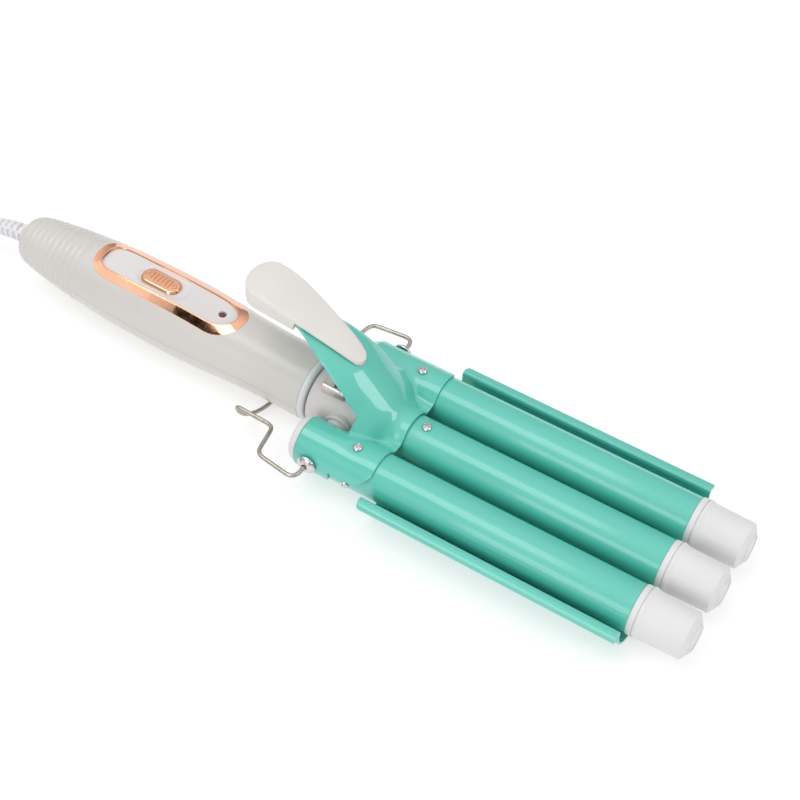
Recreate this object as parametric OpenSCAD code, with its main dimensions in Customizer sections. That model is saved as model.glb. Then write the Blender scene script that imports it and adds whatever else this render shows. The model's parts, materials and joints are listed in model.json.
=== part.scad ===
// Three-barrel hair waver. The middle barrel and two curved wings are fixed to
// the handle; the two outer barrels hang in a pressed-steel jaw with a thumb
// lever, hinged across the neck. A bent wire stand swings on the same pins.
// X runs along the barrels towards their tips, Y to the left, Z up.
// The origin is on the table, under the middle of the tool.

/* [Barrels] */
// Outside diameter of each heated barrel
barrel_d = 22; // [21.6:0.1:22.2]
// Wall of the barrel tubes
barrel_wall = 1; // [0.8:0.1:1.2]
// Distance between the axes of neighbouring barrels
barrel_pitch = 26.5; // [26.3:0.1:26.8]
// Length of the white cap beyond each barrel
cap_len = 26.9; // [26:0.1:30]

/* [Wings] */
// Length of the wings along the barrels
wing_len = 124; // [110:1:126]
// Thickness of the wing sheet
wing_t = 1.1; // [0.9:0.1:1.1]
// Inside radius of each wing trough
trough_r = 15.4; // [15.2:0.1:15.4]

/* [Handle] */
// Largest diameter of the handle
handle_d = 37.6; // [37:0.2:38.4]
// Length of the handle shells
handle_len = 166.5; // [164:0.5:170]
// Wall of the handle shells
handle_wall = 2.2; // [1.8:0.1:2.6]
// Number of grip ribs at the tail of the handle
rib_count = 9; // [6:1:9]

/* [Jaw] */
// Thickness of the pressed cover
cover_t = 0.9; // [0.8:0.1:1]
// Travel of the slide switch
switch_travel = 4; // [3:0.5:4]
// Diameter of the stand wire
wire_d = 2; // [1.8:0.1:2]

/* [Cord] */
// Diameter of the mains cord
cord_d = 5.8; // [5.6:0.1:6]
// Mean diameter of the stored coil of cord
coil_d = 66; // [62:1:68]

/* [Hidden] */

$fn = 64;

// barrel axis height above the table; each trough has a narrow flat land to rest on
axis_z = trough_r + wing_t - 0.1;
br = barrel_d / 2;
pitch = barrel_pitch;

// pivot across the neck
pivot_x = -154.5;
pivot_z = 1;
pin_r = 2;
trunnion_r = 5.5;

// handle axis: starts at the front rim and rises a little towards the tail
rim_x = -176;
rim_z = 1.5;
handle_tilt = 1.78;
hk = handle_d / 37.6;
hl = handle_len / 166.5;
handle_profile = [
    [0, 16.3], [20, 16.15], [32, 16.5], [42, 17.1], [52, 17.8], [62, 18.4], [72, 18.8],
    [84, 18.8], [96, 18.6], [106, 18.4], [116, 17.9], [126, 17.2], [134, 16.5],
    [142, 15.6], [149, 14.7], [156, 13.6], [162, 12.5], [165, 11.3], [166.5, 9.8]
];
function hr(s) = hk * lookup(s / hl, handle_profile);
rib_pitch = 3.5;

// tail of the handle, and place of the barrel fronts
tail_x = rim_x - handle_len * cos(handle_tilt);
x_mid = (-tail_x + 9.8 * hk * sin(handle_tilt) - cap_len) / 2;

// sheet cover
cover_in = br + 0.15;
cover_out = cover_in + cover_t;
cover_back = -162;
cover_front = -124;

// colours
mint = [0.42, 0.82, 0.73];
ivory = [0.87, 0.85, 0.83];
white = [0.93, 0.93, 0.93];
grey = [0.8, 0.8, 0.8];
rose = [0.89, 0.66, 0.5];
steel = [0.7, 0.7, 0.7];
chrome_c = [0.85, 0.85, 0.87];

module at_rest() translate([x_mid, 0, axis_z]) children();
module along_x() rotate([0, 90, 0]) children();
module tube_x(x0, x1, ro, ri) translate([x0, 0, 0]) along_x() difference() {
    cylinder(r = ro, h = x1 - x0);
    translate([0, 0, -1]) cylinder(r = ri, h = x1 - x0 + 2);
}
module rod_x(x0, x1, r) translate([x0, 0, 0]) along_x() cylinder(r = r, h = x1 - x0);
module rod_y(y0, y1, r) translate([0, y0, 0]) rotate([-90, 0, 0]) cylinder(r = r, h = y1 - y0);
module rod_z(z0, z1, r) translate([0, 0, z0]) cylinder(r = r, h = z1 - z0);
// both sides of the tool
module both() for (s = [-1, 1]) scale([1, s, 1]) children();

// handle frame: z along the handle from the rim to the tail, x up, y left
module handle_frame() at_rest() translate([rim_x, 0, rim_z]) rotate([0, handle_tilt, 0]) rotate([0, -90, 0]) children();
// a flat outline, x towards the tool's front, raised between two heights above the handle axis
module raised(h0, h1) rotate([0, 90, 0]) translate([0, 0, h0]) linear_extrude(h1 - h0) children();
// a side outline, x towards the front and y up, with a width across the handle
module across(w) rotate([0, 90, 0]) rotate([90, 0, 0]) translate([0, 0, -w / 2]) linear_extrude(w) children();

module handle_body(inset, s0, s1) rotate_extrude() polygon(concat(
    [[0, s0], [hr(s0) - inset, s0]],
    [for (p = handle_profile) let (s = p[0] * hl) if (s > s0 + 0.01 && s < s1 - 0.01) [hr(s) - inset, s]],
    [[hr(s1) - inset, s1], [0, s1]]
));
// shallow grooves that leave the grip ribs between them
module grip_grooves() for (i = [0:rib_count]) let (s = (129 + rib_pitch * i) * hl) rotate_extrude() polygon([
    [hr(s) - 0.35, s - 0.3], [hr(s) + 2, s - 0.8], [hr(s) + 2, s + 0.8], [hr(s) - 0.35, s + 0.3]
]);
module handle_band(lo, hi) difference() {
    handle_body(-hi, 0, handle_len);
    handle_body(-lo, 0, handle_len);
}

// rounded outline: squarish rear end, pointed-oval front end
function oval(rear, front, hw, lr, lf) = concat(
    [for (i = [0:12]) let (a = 90 * i / 12) [rear + lr - lr * pow(sin(a), 0.64), hw * pow(cos(a), 0.64)]],
    [for (i = [11:-1:0]) let (a = 90 * i / 12) [rear + lr - lr * pow(sin(a), 0.64), -hw * pow(cos(a), 0.64)]],
    [for (i = [0:12]) let (a = 90 * i / 12) [front - lf + lf * pow(sin(a), 0.95), -hw * pow(cos(a), 0.95)]],
    [for (i = [11:-1:0]) let (a = 90 * i / 12) [front - lf + lf * pow(sin(a), 0.95), hw * pow(cos(a), 0.95)]]
);
bezel_outer = oval(-122, -37, 11.7, 18, 16);
bezel_inner = oval(-118.5, -44, 7.6, 13, 13);
panel_drop = 0.3;
function panel_top(s) = sqrt(pow(hr(s), 2) - 57.8) - panel_drop;

// smooth open route through hand-set points
function cat(p, i, t) = let (
    a = p[max(i - 1, 0)], b = p[i], c = p[i + 1], d = p[min(i + 2, len(p) - 1)]
) 0.5 * ((2 * b) + (c - a) * t + (2 * a - 5 * b + 4 * c - d) * t * t + (3 * b - a - 3 * c + d) * t * t * t);
function route(p, n) = concat([for (i = [0:len(p) - 2]) for (k = [0:n - 1]) cat(p, i, k / n)], [p[len(p) - 1]]);
function unit(v) = v / norm(v);
function tangent(p, i) = unit(p[min(i + 1, len(p) - 1)] - p[max(i - 1, 0)]);
// round tube along a route; r0 to r1 from the first ring to the last
module sweep(p, r0, r1, sides) {
    m = len(p);
    pts = [for (i = [0:m - 1]) let (
        t = tangent(p, i), n = unit(cross(t, [0, 0, 1])), b = cross(n, t), r = r0 + (r1 - r0) * i / (m - 1)
    ) for (k = [0:sides - 1]) p[i] + r * (n * cos(360 * k / sides) + b * sin(360 * k / sides))];
    faces = concat(
        [[for (k = [sides - 1:-1:0]) k]],
        [[for (k = [0:sides - 1]) (m - 1) * sides + k]],
        [for (i = [0:m - 2]) for (k = [0:sides - 1]) for (h = [0, 1]) let (a = i * sides + k, b = i * sides + (k + 1) % sides) h == 0 ? [a, b + sides, a + sides] : [a, b, b + sides]]
    );
    polyhedron(points = pts, faces = faces, convexity = 6);
}
// closed skin through equal rings of points
module loft(rings) {
    m = len(rings);
    n = len(rings[0]);
    polyhedron(
        points = [for (r = rings) for (q = r) q],
        faces = concat(
            [[for (k = [n - 1:-1:0]) k]],
            [[for (k = [0:n - 1]) (m - 1) * n + k]],
            [for (i = [0:m - 2]) for (k = [0:n - 1]) for (h = [0, 1]) let (a = i * n + k, b = i * n + (k + 1) % n) h == 0 ? [a, b, b + n] : [a, b + n, a + n]]
        ),
        convexity = 8
    );
}

// ---------------------------------------------------------------- handle

// split line height in the handle frame
split = 0;
boss_s = [30, 132];

module handle_upper() color(ivory) handle_frame() difference() {
    union() {
        intersection() {
            handle_body(0, 0, handle_len);
            translate([split, -30, -1]) cube([60, 60, handle_len + 2]);
        }
    }
    // hollow
    handle_body(handle_wall, 3, 162 * hl);
    // mouth for the neck, hole for the cord
    translate([0, 0, -1]) cylinder(r = 12.6, h = 6);
    translate([0, 0, 155]) cylinder(r = 5, h = 20);
    // seat for the bezel, window for the panel
    intersection() {
        raised(10, 30) polygon(bezel_outer);
        handle_band(-1.2, 3);
    }
    raised(10, 30) polygon(bezel_inner);
    grip_grooves();
}

module handle_lower() color(ivory) handle_frame() difference() {
    union() {
        difference() {
            intersection() {
                handle_body(0, 0, handle_len);
                translate([split - 60, -30, -1]) cube([60, 60, handle_len + 2]);
            }
            handle_body(handle_wall, 3, 162 * hl);
        }
        // screw pillars
        for (s = boss_s) translate([-hr(s) + 1, 0, s]) rotate([0, 90, 0]) cylinder(r = 3.2, h = hr(s) - 1.5);
    }
    translate([0, 0, -1]) cylinder(r = 12.6, h = 6);
    translate([0, 0, 155]) cylinder(r = 5, h = 20);
    // screw holes with sunk heads
    for (s = boss_s) translate([-hr(s) - 1, 0, s]) rotate([0, 90, 0]) {
        cylinder(r = 1.3, h = hr(s) + 2);
        cylinder(r = 2.6, h = 4);
    }
    grip_grooves();
}

module handle_screws() color(steel) handle_frame() for (s = boss_s) translate([-hr(s) + 0.5, 0, s]) rotate([0, 90, 0]) {
    translate([0, 0, 0.4]) cylinder(r = 2.4, h = 2.1);
    translate([0, 0, 2]) cylinder(r = 1.25, h = hr(s) - 3.2);
}

module bezel() color(rose) handle_frame() intersection() {
    raised(10, 30) difference() {
        polygon(bezel_outer);
        polygon(bezel_inner);
    }
    handle_band(-1.2, 0.5);
}

module control_panel() color(ivory) handle_frame() difference() {
    intersection() {
        raised(8, 30) polygon(bezel_inner);
        across(40) polygon(concat(
            [for (s = [40:6:124]) [-s, panel_top(s)]],
            [for (s = [124:-6:40]) [-s, panel_top(s) - 2]]
        ));
    }
    // dished slide track, slot for the stem, lens hole
    raised(panel_top(84) - 0.7, 30) translate([-98.5, -5.6]) square([23.5 + switch_travel, 11.2]);
    raised(8, 30) translate([-94, -2.1]) square([8 + switch_travel, 4.2]);
    raised(8, 30) translate([-51.7, 0]) circle(r = 1.75);
}

module led_lens() color([0.45, 0.08, 0.05]) handle_frame() {
    raised(panel_top(51.7) - 3.5, panel_top(51.7) + 0.2) translate([-51.7, 0]) circle(r = 1.7);
}

module circuit_board() color([0.15, 0.4, 0.2]) handle_frame() {
    raised(6, 7.6) translate([-112, -8]) square([66, 16]);
    raised(7.6, panel_top(51.7) - 3.5) translate([-51.7, 0]) circle(r = 1.5);
    raised(7.6, 10.4) translate([-66, -5]) square([7, 4]);
    raised(7.6, 9.4) translate([-66, 2]) square([5, 4]);
}

module slide_switch() color([0.2, 0.2, 0.22]) handle_frame() difference() {
    raised(7.6, panel_top(84) - 2.4) translate([-95.5, -4.5]) square([21, 9]);
    raised(panel_top(84) - 5.5, 20) translate([-94, -2.1]) square([8 + switch_travel, 4.2]);
}

// thumb button of the slide switch, with moulded ribs and a pointer at each end
knob_base = 0.35;
module switch_knob() color(rose) handle_frame() {
    t = panel_top(84);
    raised(t - 0.7 + knob_base, t + 1.0) polygon(oval(-97.2, -75.6, 5.1, 5.5, 5.5));
    for (i = [-2.5:1:2.5]) raised(t + 0.9, t + 1.5) translate([-86.4 + i * 1.9 - 0.35, -3.2 + abs(i) * 0.3]) square([0.7, 6.4 - abs(i) * 0.6]);
    for (e = [-1, 1]) raised(t + 0.9, t + 1.4) translate([-86.4 + e * 7.6, 0]) polygon([[e * 1.6, 0], [0, 1.5], [0, -1.5]]);
    // stem down into the switch
    raised(t - 5.0, t) translate([-93, -1.7]) square([6, 3.4]);
}

module cord_clamp() color([0.25, 0.25, 0.27]) handle_frame() difference() {
    translate([-4.5, -9, 143]) cube([9, 18, 7]);
    translate([0, 0, 140]) cylinder(r = 3, h = 14);
    translate([-6, 6.2, 146.5]) rotate([0, 90, 0]) cylinder(r = 1.1, h = 14);
    translate([-6, -6.2, 146.5]) rotate([0, 90, 0]) cylinder(r = 1.1, h = 14);
}

module power_leads() color([0.6, 0.15, 0.1]) {
    handle_frame() for (y = [-3.4, 3.4]) translate([4.4, y, 112.2]) cylinder(r = 0.9, h = 30);
    // from the circuit board to the heating strips, round both sides of the spring
    at_rest() for (s = [-1, 1]) sweep(route([
        [-222, s * 2.4, 3.4], [-190, s * 2.6, 2.4], [-172, s * 3.4, 1.8], [-165, s * 6.3, 1.5], [-154.5, s * 6.6, 1.2],
        [-146.5, s * 5.6, 0.9], [-141.5, s * 2.3, 0.6], [-134, s * 2.1, 0.4], [-106, s * 2, 0.2]
    ], 4), 0.9, 0.9, 12);
}

// ---------------------------------------------------------------- neck

module front_ring() color(white) handle_frame() translate([-0.3, 0, 0]) rotate_extrude() polygon([
    [12.7, 0], [15.9, 0], [16.1, -0.6], [16, -1.5], [15.6, -2.3], [15.1, -2.7], [14.9, -2.8], [12.7, -2.8]
]);

module neck_housing() color(grey) at_rest() difference() {
    union() {
        translate([-188, 0, 0]) along_x() rotate_extrude() polygon([
            [0, 0], [11, 0], [11, 15.4], [14.6, 15.4], [14.5, 20], [14.3, 26], [14.1, 34], [13.6, 38], [12.9, 42],
            [12.3, 46], [11.8, 51], [11.3, 57], [11, 60], [9.9, 60], [9.9, 79], [0, 79]
        ]);
        // trunnions and their collars
        both() translate([pivot_x, 0, pivot_z]) {
            rod_y(9, 24, trunnion_r);
            rod_y(9, 14.6, 7);
        }
    }
    // passage for springs and leads, left open at the rear
    rod_x(-189, -142, 10.4);
    rod_x(-143, -107, 3.6);
    // bores for the hinge pins
    both() translate([pivot_x, 0, pivot_z]) rod_y(8, 25, pin_r);
    // slot for the spring's leg
    translate([-167, -2.6, 6]) cube([14, 5.2, 12]);
    // thread hole of the barrel's screw
    translate([-117.5, 0, 0]) rod_z(3.3, 12, 1.3);
}

module spring_bracket() color(steel) at_rest() difference() {
    translate([-167.6, -8.8, 10.6]) cube([12.4, 17.6, 5.8]);
    translate([-168, -7.8, 9]) cube([11.4, 15.6, 6.4]);
    // seats on the neck
    rod_x(-190, -150, 14.5);
    translate([-167, -1.6, 12]) cube([13, 3.2, 6]);
    for (y = [-5, 5]) translate([-161, y, 8]) cylinder(r = 1, h = 12);
}

// torsion spring about the hinge axis: coil, a leg up to the lever, a leg on the neck wall
module clamp_spring() color(steel) at_rest() {
    translate([pivot_x, 0, pivot_z]) {
        p = [for (i = [0:40]) let (a = 106 + i * 30.8) [5 * cos(a), -3.2 + 6.4 * i / 40, 5 * sin(a)]];
        sweep(p, 0.6, 0.6, 8);
    }
    sweep([[-155.9, -3.2, 5.8], [-156.6, -2.2, 8.2], [-157.6, -1, 11.2], [-158.6, -0.4, 14.6], [-160.8, -0.2, 22], [-163.6, 0, 31], [-166.2, 0, 39.4]], 0.6, 0.6, 8);
    sweep([[-155.6, 3.2, -3.9], [-160, 3.6, -6.4], [-165, 4, -8.2]], 0.6, 0.6, 8);
}

// chrome pins: shaft through the jaw into the trunnion, domed head with a hole for the stand
head_y = pitch + cover_out + 0.3;
module hinge_pins() color(chrome_c) at_rest() both() translate([pivot_x, 0, pivot_z]) difference() {
    union() {
        rod_y(16, head_y + 0.4, pin_r - 0.02);
        translate([0, head_y, 0]) rotate([-90, 0, 0]) rotate_extrude() polygon([
            [0, 0], [4.6, 0], [4.7, 0.5], [4.4, 1.2], [3.7, 1.9], [2.7, 2.4], [1.6, 2.6], [0, 2.6]
        ]);
    }
    rod_y(head_y - 4.4, head_y + 4, wire_d / 2 + 0.05);
}

// ---------------------------------------------------------------- fixed jaw

module middle_barrel() color(mint) at_rest() difference() {
    tube_x(-127.7, 0, br, br - barrel_wall);
    translate([-117.5, 0, 0]) rod_z(5, 20, 1.5);
    for (x = [-104, -16]) translate([x, 0, 0]) rod_z(-20, -5, 1.25);
}

cap_profile = [
    [0, -8], [br - barrel_wall - 0.05, -8], [br - barrel_wall - 0.05, 0], [11.3, 0], [11.35, 2.5], [10.9, 2.6], [10.9, 3],
    [11.6, 3.1], [11.7, 3.7], [11.5, 4.4], [11.1, 5.4], [10.95, 6.6], [10.9, 8], [10.7, 23.6], [10.45, 24.2],
    [7.2, cap_len - 0.8], [6.7, cap_len - 0.3], [6, cap_len - 0.1], [0, cap_len]
];
module end_cap(y) color(white) at_rest() translate([0, y, 0]) along_x() difference() {
    rotate_extrude() polygon(cap_profile);
    translate([0, 0, -9]) cylinder(r = 8.2, h = 24);
}
module middle_cap() end_cap(0);
module left_cap() end_cap(pitch);
module right_cap() end_cap(-pitch);

// two half-round aluminium wedges squeeze a flat heating strip inside a barrel
module wedges(y, x0, x1) at_rest() translate([0, y, 0]) difference() {
    rod_x(x0, x1, br - barrel_wall - 0.1);
    translate([x0 - 1, -12, -1.6]) cube([x1 - x0 + 2, 24, 3.2]);
}
module ptc(y, x0, x1) at_rest() translate([x0, y - 8, -1.5]) cube([x1 - x0, 16, 3]);
module middle_wedges() color([0.75, 0.76, 0.78]) wedges(0, -104 + 3, -19);
module middle_ptc() color([0.5, 0.3, 0.2]) ptc(0, -99, -22);
module outer_wedges() color([0.75, 0.76, 0.78]) for (s = [-1, 1]) wedges(s * pitch, -122, -19);
module outer_ptc() color([0.5, 0.3, 0.2]) for (s = [-1, 1]) ptc(s * pitch, -118, -22);

// small cross-recess screw, head outwards along +Z, seated at z = 0
module pan_screw(head_r, head_h, shaft_r, shaft_l) difference() {
    union() {
        rotate_extrude() polygon([[0, 0], [head_r, 0], [head_r, head_h * 0.4], [head_r * 0.8, head_h * 0.8], [head_r * 0.45, head_h], [0, head_h]]);
        translate([0, 0, -shaft_l]) cylinder(r = shaft_r, h = shaft_l + 0.01);
    }
    for (a = [0, 90]) rotate(a + 30) translate([-head_r * 0.55, -0.3, head_h * 0.45]) cube([head_r * 1.1, 0.6, head_h]);
}
module middle_screw() color(chrome_c) at_rest() translate([-117.5, 0, br]) pan_screw(2.2, 1.3, 1.25, 7);
module cradle_screws() color(steel) at_rest() for (x = [-104, -16]) translate([x, 0, -br - 1.2]) rotate([180, 0, 0]) pan_screw(2.2, 1.2, 1.2, 5);

// one wing: half-round trough under an outer barrel with a hooked, stepped lip outside
function arc(r, a0, a1, n) = [for (i = [0:n]) let (a = a0 + (a1 - a0) * i / n) [r * cos(a), r * sin(a)]];
wing_out = trough_r + wing_t;
lip = [[trough_r - 0.36, 3.3], [trough_r + 0.2, 3.6], [16.6, 3.5], [16.9, 3.9], [17.4, 3.9], [17.7, 3.4], [18.5, 3.3], [18.8, 3.6], [19.3, 3.6],
    [19.6, 3.1], [20.4, 2.7], [20.9, 1.9], [20.9, 0.6], [20.4, 0.3], [19.9, 0.6], [19.8, 1.5], [19.2, 2.0], [17.6, 2.2], [16.9, 1.9]];
module wing() at_rest() translate([-wing_len, pitch, 0]) rotate([90, 0, 90]) linear_extrude(wing_len) polygon(concat(
    lip,
    [for (q = arc(wing_out, 2, -166, 42)) [q[0], max(q[1], -axis_z)]],
    arc(trough_r, -167.5, 10, 40)
));
module wing_left() color(mint) wing();
module wing_right() color(mint) scale([1, -1, 1]) wing();

// saddle under the middle barrel that carries both wings
module wing_cradle() color(mint) at_rest() difference() {
    union() {
        translate([-wing_len + 2, 0, 0]) rotate([90, 0, 90]) linear_extrude(wing_len - 4) polygon(concat(
            arc(br + 0.02, -150, -30, 24),
            arc(br + 1.2, -30, -150, 24)
        ));
        // tab behind the wings, under the fork of the cover
        translate([-wing_len - 18, -21, -15.2]) cube([17.6, 42, 1]);
        translate([-wing_len - 2.5, -5, -14.8]) cube([5.5, 10, 3.4]);
    }
    rod_x(-160, -2, br + 0.02);
    for (s = [-1, 1]) translate([0, s * pitch, 0]) rod_x(-124.2, 4, wing_out + 0.02);
    for (x = [-104, -16]) translate([x, 0, 0]) rod_z(-20, -5, 1.3);
}

// ---------------------------------------------------------------- moving jaw

module outer_barrel(s) color(mint) at_rest() difference() {
    translate([0, s * pitch, 0]) tube_x(-162.6, 0, br, br - barrel_wall);
    translate([pivot_x, 0, pivot_z]) {
        scale([1, s, 1]) rod_y(10, pitch, trunnion_r + 0.3);
        scale([1, s, 1]) rod_y(pitch, pitch + 16, pin_r + 0.4);
    }
    translate([-136.2, s * pitch, 0]) rod_z(5, 20, 1.5);
    translate([-136, s * pitch, -1.7]) scale([1, s, 1]) rod_y(5, 20, 1.5);
}
module left_barrel() outer_barrel(1);
module right_barrel() outer_barrel(-1);

module rear_plug(s) color(grey) at_rest() difference() {
    translate([-166.5, s * pitch, 0]) along_x() rotate_extrude() polygon([
        [0, 0], [8.6, 0], [9.8, 0.3], [10.6, 1], [11, 2], [11, 3.9], [9.95, 3.9], [9.95, 36], [0, 36]
    ]);
    translate([pivot_x, 0, pivot_z]) scale([1, s, 1]) {
        rod_y(10, 24.3, trunnion_r + 0.05);
        rod_y(20, pitch + 16, pin_r + 0.05);
    }
    translate([-136.2, s * pitch, 0]) rod_z(4, 20, 1.3);
    translate([-136, s * pitch, -1.7]) scale([1, s, 1]) rod_y(4, 20, 1.3);
}
module left_plug() rear_plug(1);
module right_plug() rear_plug(-1);

module cover_screws() color(chrome_c) at_rest() for (s = [-1, 1]) translate([-136.2, s * pitch, cover_out]) pan_screw(2.2, 1.3, 1.25, 7);
module side_screws() color(chrome_c) at_rest() for (s = [-1, 1]) translate([-136, s * (pitch + br + 0.05), -1.7]) rotate([-90 * s, 0, 0]) pan_screw(2.1, 1.2, 1.25, 6);

// central tent and lever of the cover, one row per station:
// place along X, height of the ridge, half width, height of the side edge
tent = [
    [-124.3, 12.25, 13.3, 5.85], [-129, 12.95, 13.45, 6.15], [-131, 14.1, 13.5, 6.3], [-134, 17, 15.7, 7.8],
    [-138, 21, 18.85, 10.6], [-142, 25, 20.2, 12], [-143.4, 26.4, 17.6, 16.6], [-145, 27.9, 16.43, 20.21],
    [-150, 32.4, 15.93, 25.85], [-158, 38, 14.34, 33.05], [-164, 41.4, 12.63, 37.26], [-170, 44.4, 10.69, 40.94],
    [-178, 47.4, 8.6, 46.3], [-182, 48.8, 7.9, 48.2], [-190, 51.2, 7.4, 51.1], [-198, 52.8, 7.2, 52.7]
];
tent_n = 10;
function tent_row(q, d) = [for (k = [0:tent_n]) let (u = -1 + 2 * k / tent_n) [q[0], q[2] * u, q[3] + (q[1] - q[3]) * (1 - pow(abs(u), 2.1)) - d]];
function rev(v) = [for (i = [len(v) - 1:-1:0]) v[i]];
// the sheet ends in a small rolled edge on each side
function edge(q, d) = [[q[2] + 0.25, q[3] - 0.4 - d], [q[2] + 0.5, q[3] - 0.9 - d]];
function mirrored(v) = [for (q = rev(v)) [-q[0], q[1]]];
function sheet_row(q, d) = concat(
    [for (e = mirrored(edge(q, d))) [q[0], e[0], e[1]]], tent_row(q, d), [for (e = edge(q, d)) [q[0], e[0], e[1]]]
);
module tent_sheet() loft([for (q = rev(tent)) concat(sheet_row(q, 0), rev(sheet_row(q, 1)))]);
// folded valley between the sheet's edge and a saddle
module valley() translate([-135, 0, 0]) rotate([90, 0, 90]) linear_extrude(10.1) polygon([
    [13.4, 5], [15, 5.7], [16.3, 6.4], [17.2, 7.4], [18.35, 8.6], [18.4, 7.9], [17.4, 6.6], [16.4, 5.6], [15, 4.9], [13.4, 4.2]
]);

// shell over one outer barrel: from the inner edge over the top to the outer side
module saddle() difference() {
    translate([0, pitch, 0]) tube_x(cover_back, cover_front, cover_out, cover_in);
    // outer side: swept-back front edge, notch, and a skirt that hangs lower at the rear
    translate([0, pitch + 20, 0]) rotate([90, 0, 0]) linear_extrude(20) polygon([
        [-163, -30], [-163, -5.2], [-162.01, -5.2], [-161, -6.1], [-159.5, -6.4], [-146.8, -6.4], [-145.3, -5.9], [-144.5, -4.6], [-144.3, 1.1],
        [-142.5, 1.1], [-142.3, 0.9], [-139, 0.75], [-133.5, 0.95], [-131.4, 1.6], [-129.6, 2.6], [-127.8, 4], [-126.2, 5.8], [-125.1, 7.2],
        [-124.4, 8.6], [-124.05, 9.6], [-123, 9.7], [-123, -30]
    ]);
    // inner side: open beside the neck, and under the fold behind the front edge
    translate([-170, pitch - 20, -30]) cube([60, 20, 37.2]);
    translate([-170, pitch - 20, -30]) cube([23.2, 20, 40.7]);
    // pin and screw holes
    translate([pivot_x, 0, pivot_z]) rod_y(pitch, pitch + 16, pin_r + 0.4);
    translate([-136.2, pitch, 0]) rod_z(5, 20, 1.5);
}
module jaw_cover() color(mint) at_rest() {
    difference() {
        tent_sheet();
        for (q = pad_screw_at) at_pad_screw(q) translate([0, 0, -1]) cylinder(r = 1.4, h = 4, $fn = 24);
    }
    both() {
        saddle();
        valley();
    }
}

// thumb pad: rear block with a hollow underneath, front tongue lying on the lever
// station: place along X, half width, top height, depth
pad = [
    [-208.6, 4.2, 57.5, 7.4], [-207.8, 6.4, 57.75, 8.2], [-205.4, 9, 58, 9.2], [-202, 10.6, 57.9, 9.4], [-197, 11.2, 57.2, 9],
    [-190, 11.1, 55.3, 8.4], [-184, 10.4, 53, 7.7], [-180.2, 9.8, 51.5, 7.4], [-179.8, 9.7, 51.35, 2.8], [-176, 9.1, 49.7, 2.6],
    [-170, 8.1, 46.9, 2.2], [-164, 7.1, 44.1, 2.1], [-158, 5.9, 40.8, 2.1], [-154, 4.8, 38.2, 2.1], [-151.4, 3.3, 36.3, 2.1], [-150.2, 1.6, 35.4, 2.1]
];
function pad_ring(x, w, t, d, r) = [for (c = [[1, -1, -90], [1, 1, 0], [-1, 1, 90], [-1, -1, 180]]) for (k = [0:4]) let (
    a = c[2] + 22.5 * k, rr = min(r, w * 0.8, d * 0.45)
) [x, c[0] * (w - rr) + rr * cos(a), t - d / 2 + c[1] * (d / 2 - rr) + rr * sin(a)]];
module thumb_pad() color(white) at_rest() difference() {
    loft([for (q = rev(pad)) pad_ring(q[0], q[1], q[2], q[3], 1.3)]);
    // hollow under the block
    loft([for (q = [[-178, 7.9, 48, 9], [-182, 8.4, 49.4, 9], [-188, 9.3, 51.4, 9], [-196, 9.4, 53, 9], [-203, 8, 53.5, 9], [-206, 5.8, 53.3, 9]])
        pad_ring(q[0], q[1], q[2] - 0.1, q[3], 0.6)]);
    // bed of the lever under the tongue
    lever_bed();
    // threads of the screws
    for (q = pad_screw_at) at_pad_screw(q) cylinder(r = 1.15, h = 3.4, $fn = 24);
}
module lever_bed() loft([for (q = rev(tent)) if (q[0] >= -182) concat(
    tent_row([q[0], q[1] + 0.02, q[2] + 0.6, q[3] + 0.02], 0),
    rev(tent_row([q[0], q[1] + 0.02, q[2] + 0.6, q[3] + 0.02], 9))
)]);
// seats under the lever: place along X, height, slope of the sheet
pad_screw_at = [[-186, 48.93, 16.7], [-194, 50.93, 11.3]];
module at_pad_screw(q) translate([q[0], 0, q[1]]) rotate([0, q[2], 0]) children();
module pad_screws() color(steel) at_rest() for (q = pad_screw_at) at_pad_screw(q) rotate([180, 0, 0]) pan_screw(2.2, 1.3, 1.1, 3.2);

// ---------------------------------------------------------------- wire stand

// route of one side: pin hole, outward, back, inward, back to the foot bow
stand_side = [
    [pivot_x, head_y + 0.3, pivot_z], [pivot_x, 46, pivot_z], [pivot_x - 0.8, 48.2, pivot_z], [pivot_x - 2.8, 49, pivot_z + 0.1],
    [-165, 48, 1.2], [-173, 46.9, 1.4], [-175.6, 46.2, 1.4], [-176.8, 44, 1.4], [-177.4, 39, 1.4], [-178.1, 33, 1.4], [-178.7, 30.8, 1.4],
    [-180.6, 29.9, 1.5], [-188, 29.6, 1.7], [-196, 29.4, 1.9], [-199, 29.2, 1.4]
];
foot_z = -axis_z + wire_d / 2;
foot = [for (a = [15:15:165]) [-199.6 + 3.6 * sin(a), 29.2 * cos(a), 1.2 + (foot_z - 1.2) * sin(a)]];
module wire_stand() color(steel) at_rest() {
    p = concat(stand_side, foot, rev([for (q = stand_side) [q[0], -q[1], q[2]]]));
    sweep(p, wire_d / 2, wire_d / 2, 8);
}

// ---------------------------------------------------------------- cord

// everything here moves with the handle's tail
module at_tail() at_rest() translate([tail_x + 342.42, 0, 0]) children();
relief_path = route([[-339, 0, 6.5], [-344, 0, 6.6], [-352, 0, 6], [-362, 0, 3.6], [-372, 0, -0.6], [-380, 0, -5]], 3);
module strain_relief() color(white) at_tail() {
    sweep(relief_path, 4.8, 3.6, 16);
    translate([-339, 0, 6.5]) rotate([0, 1.78, 0]) rod_x(-0.1, 6, 4.9);
}

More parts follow.
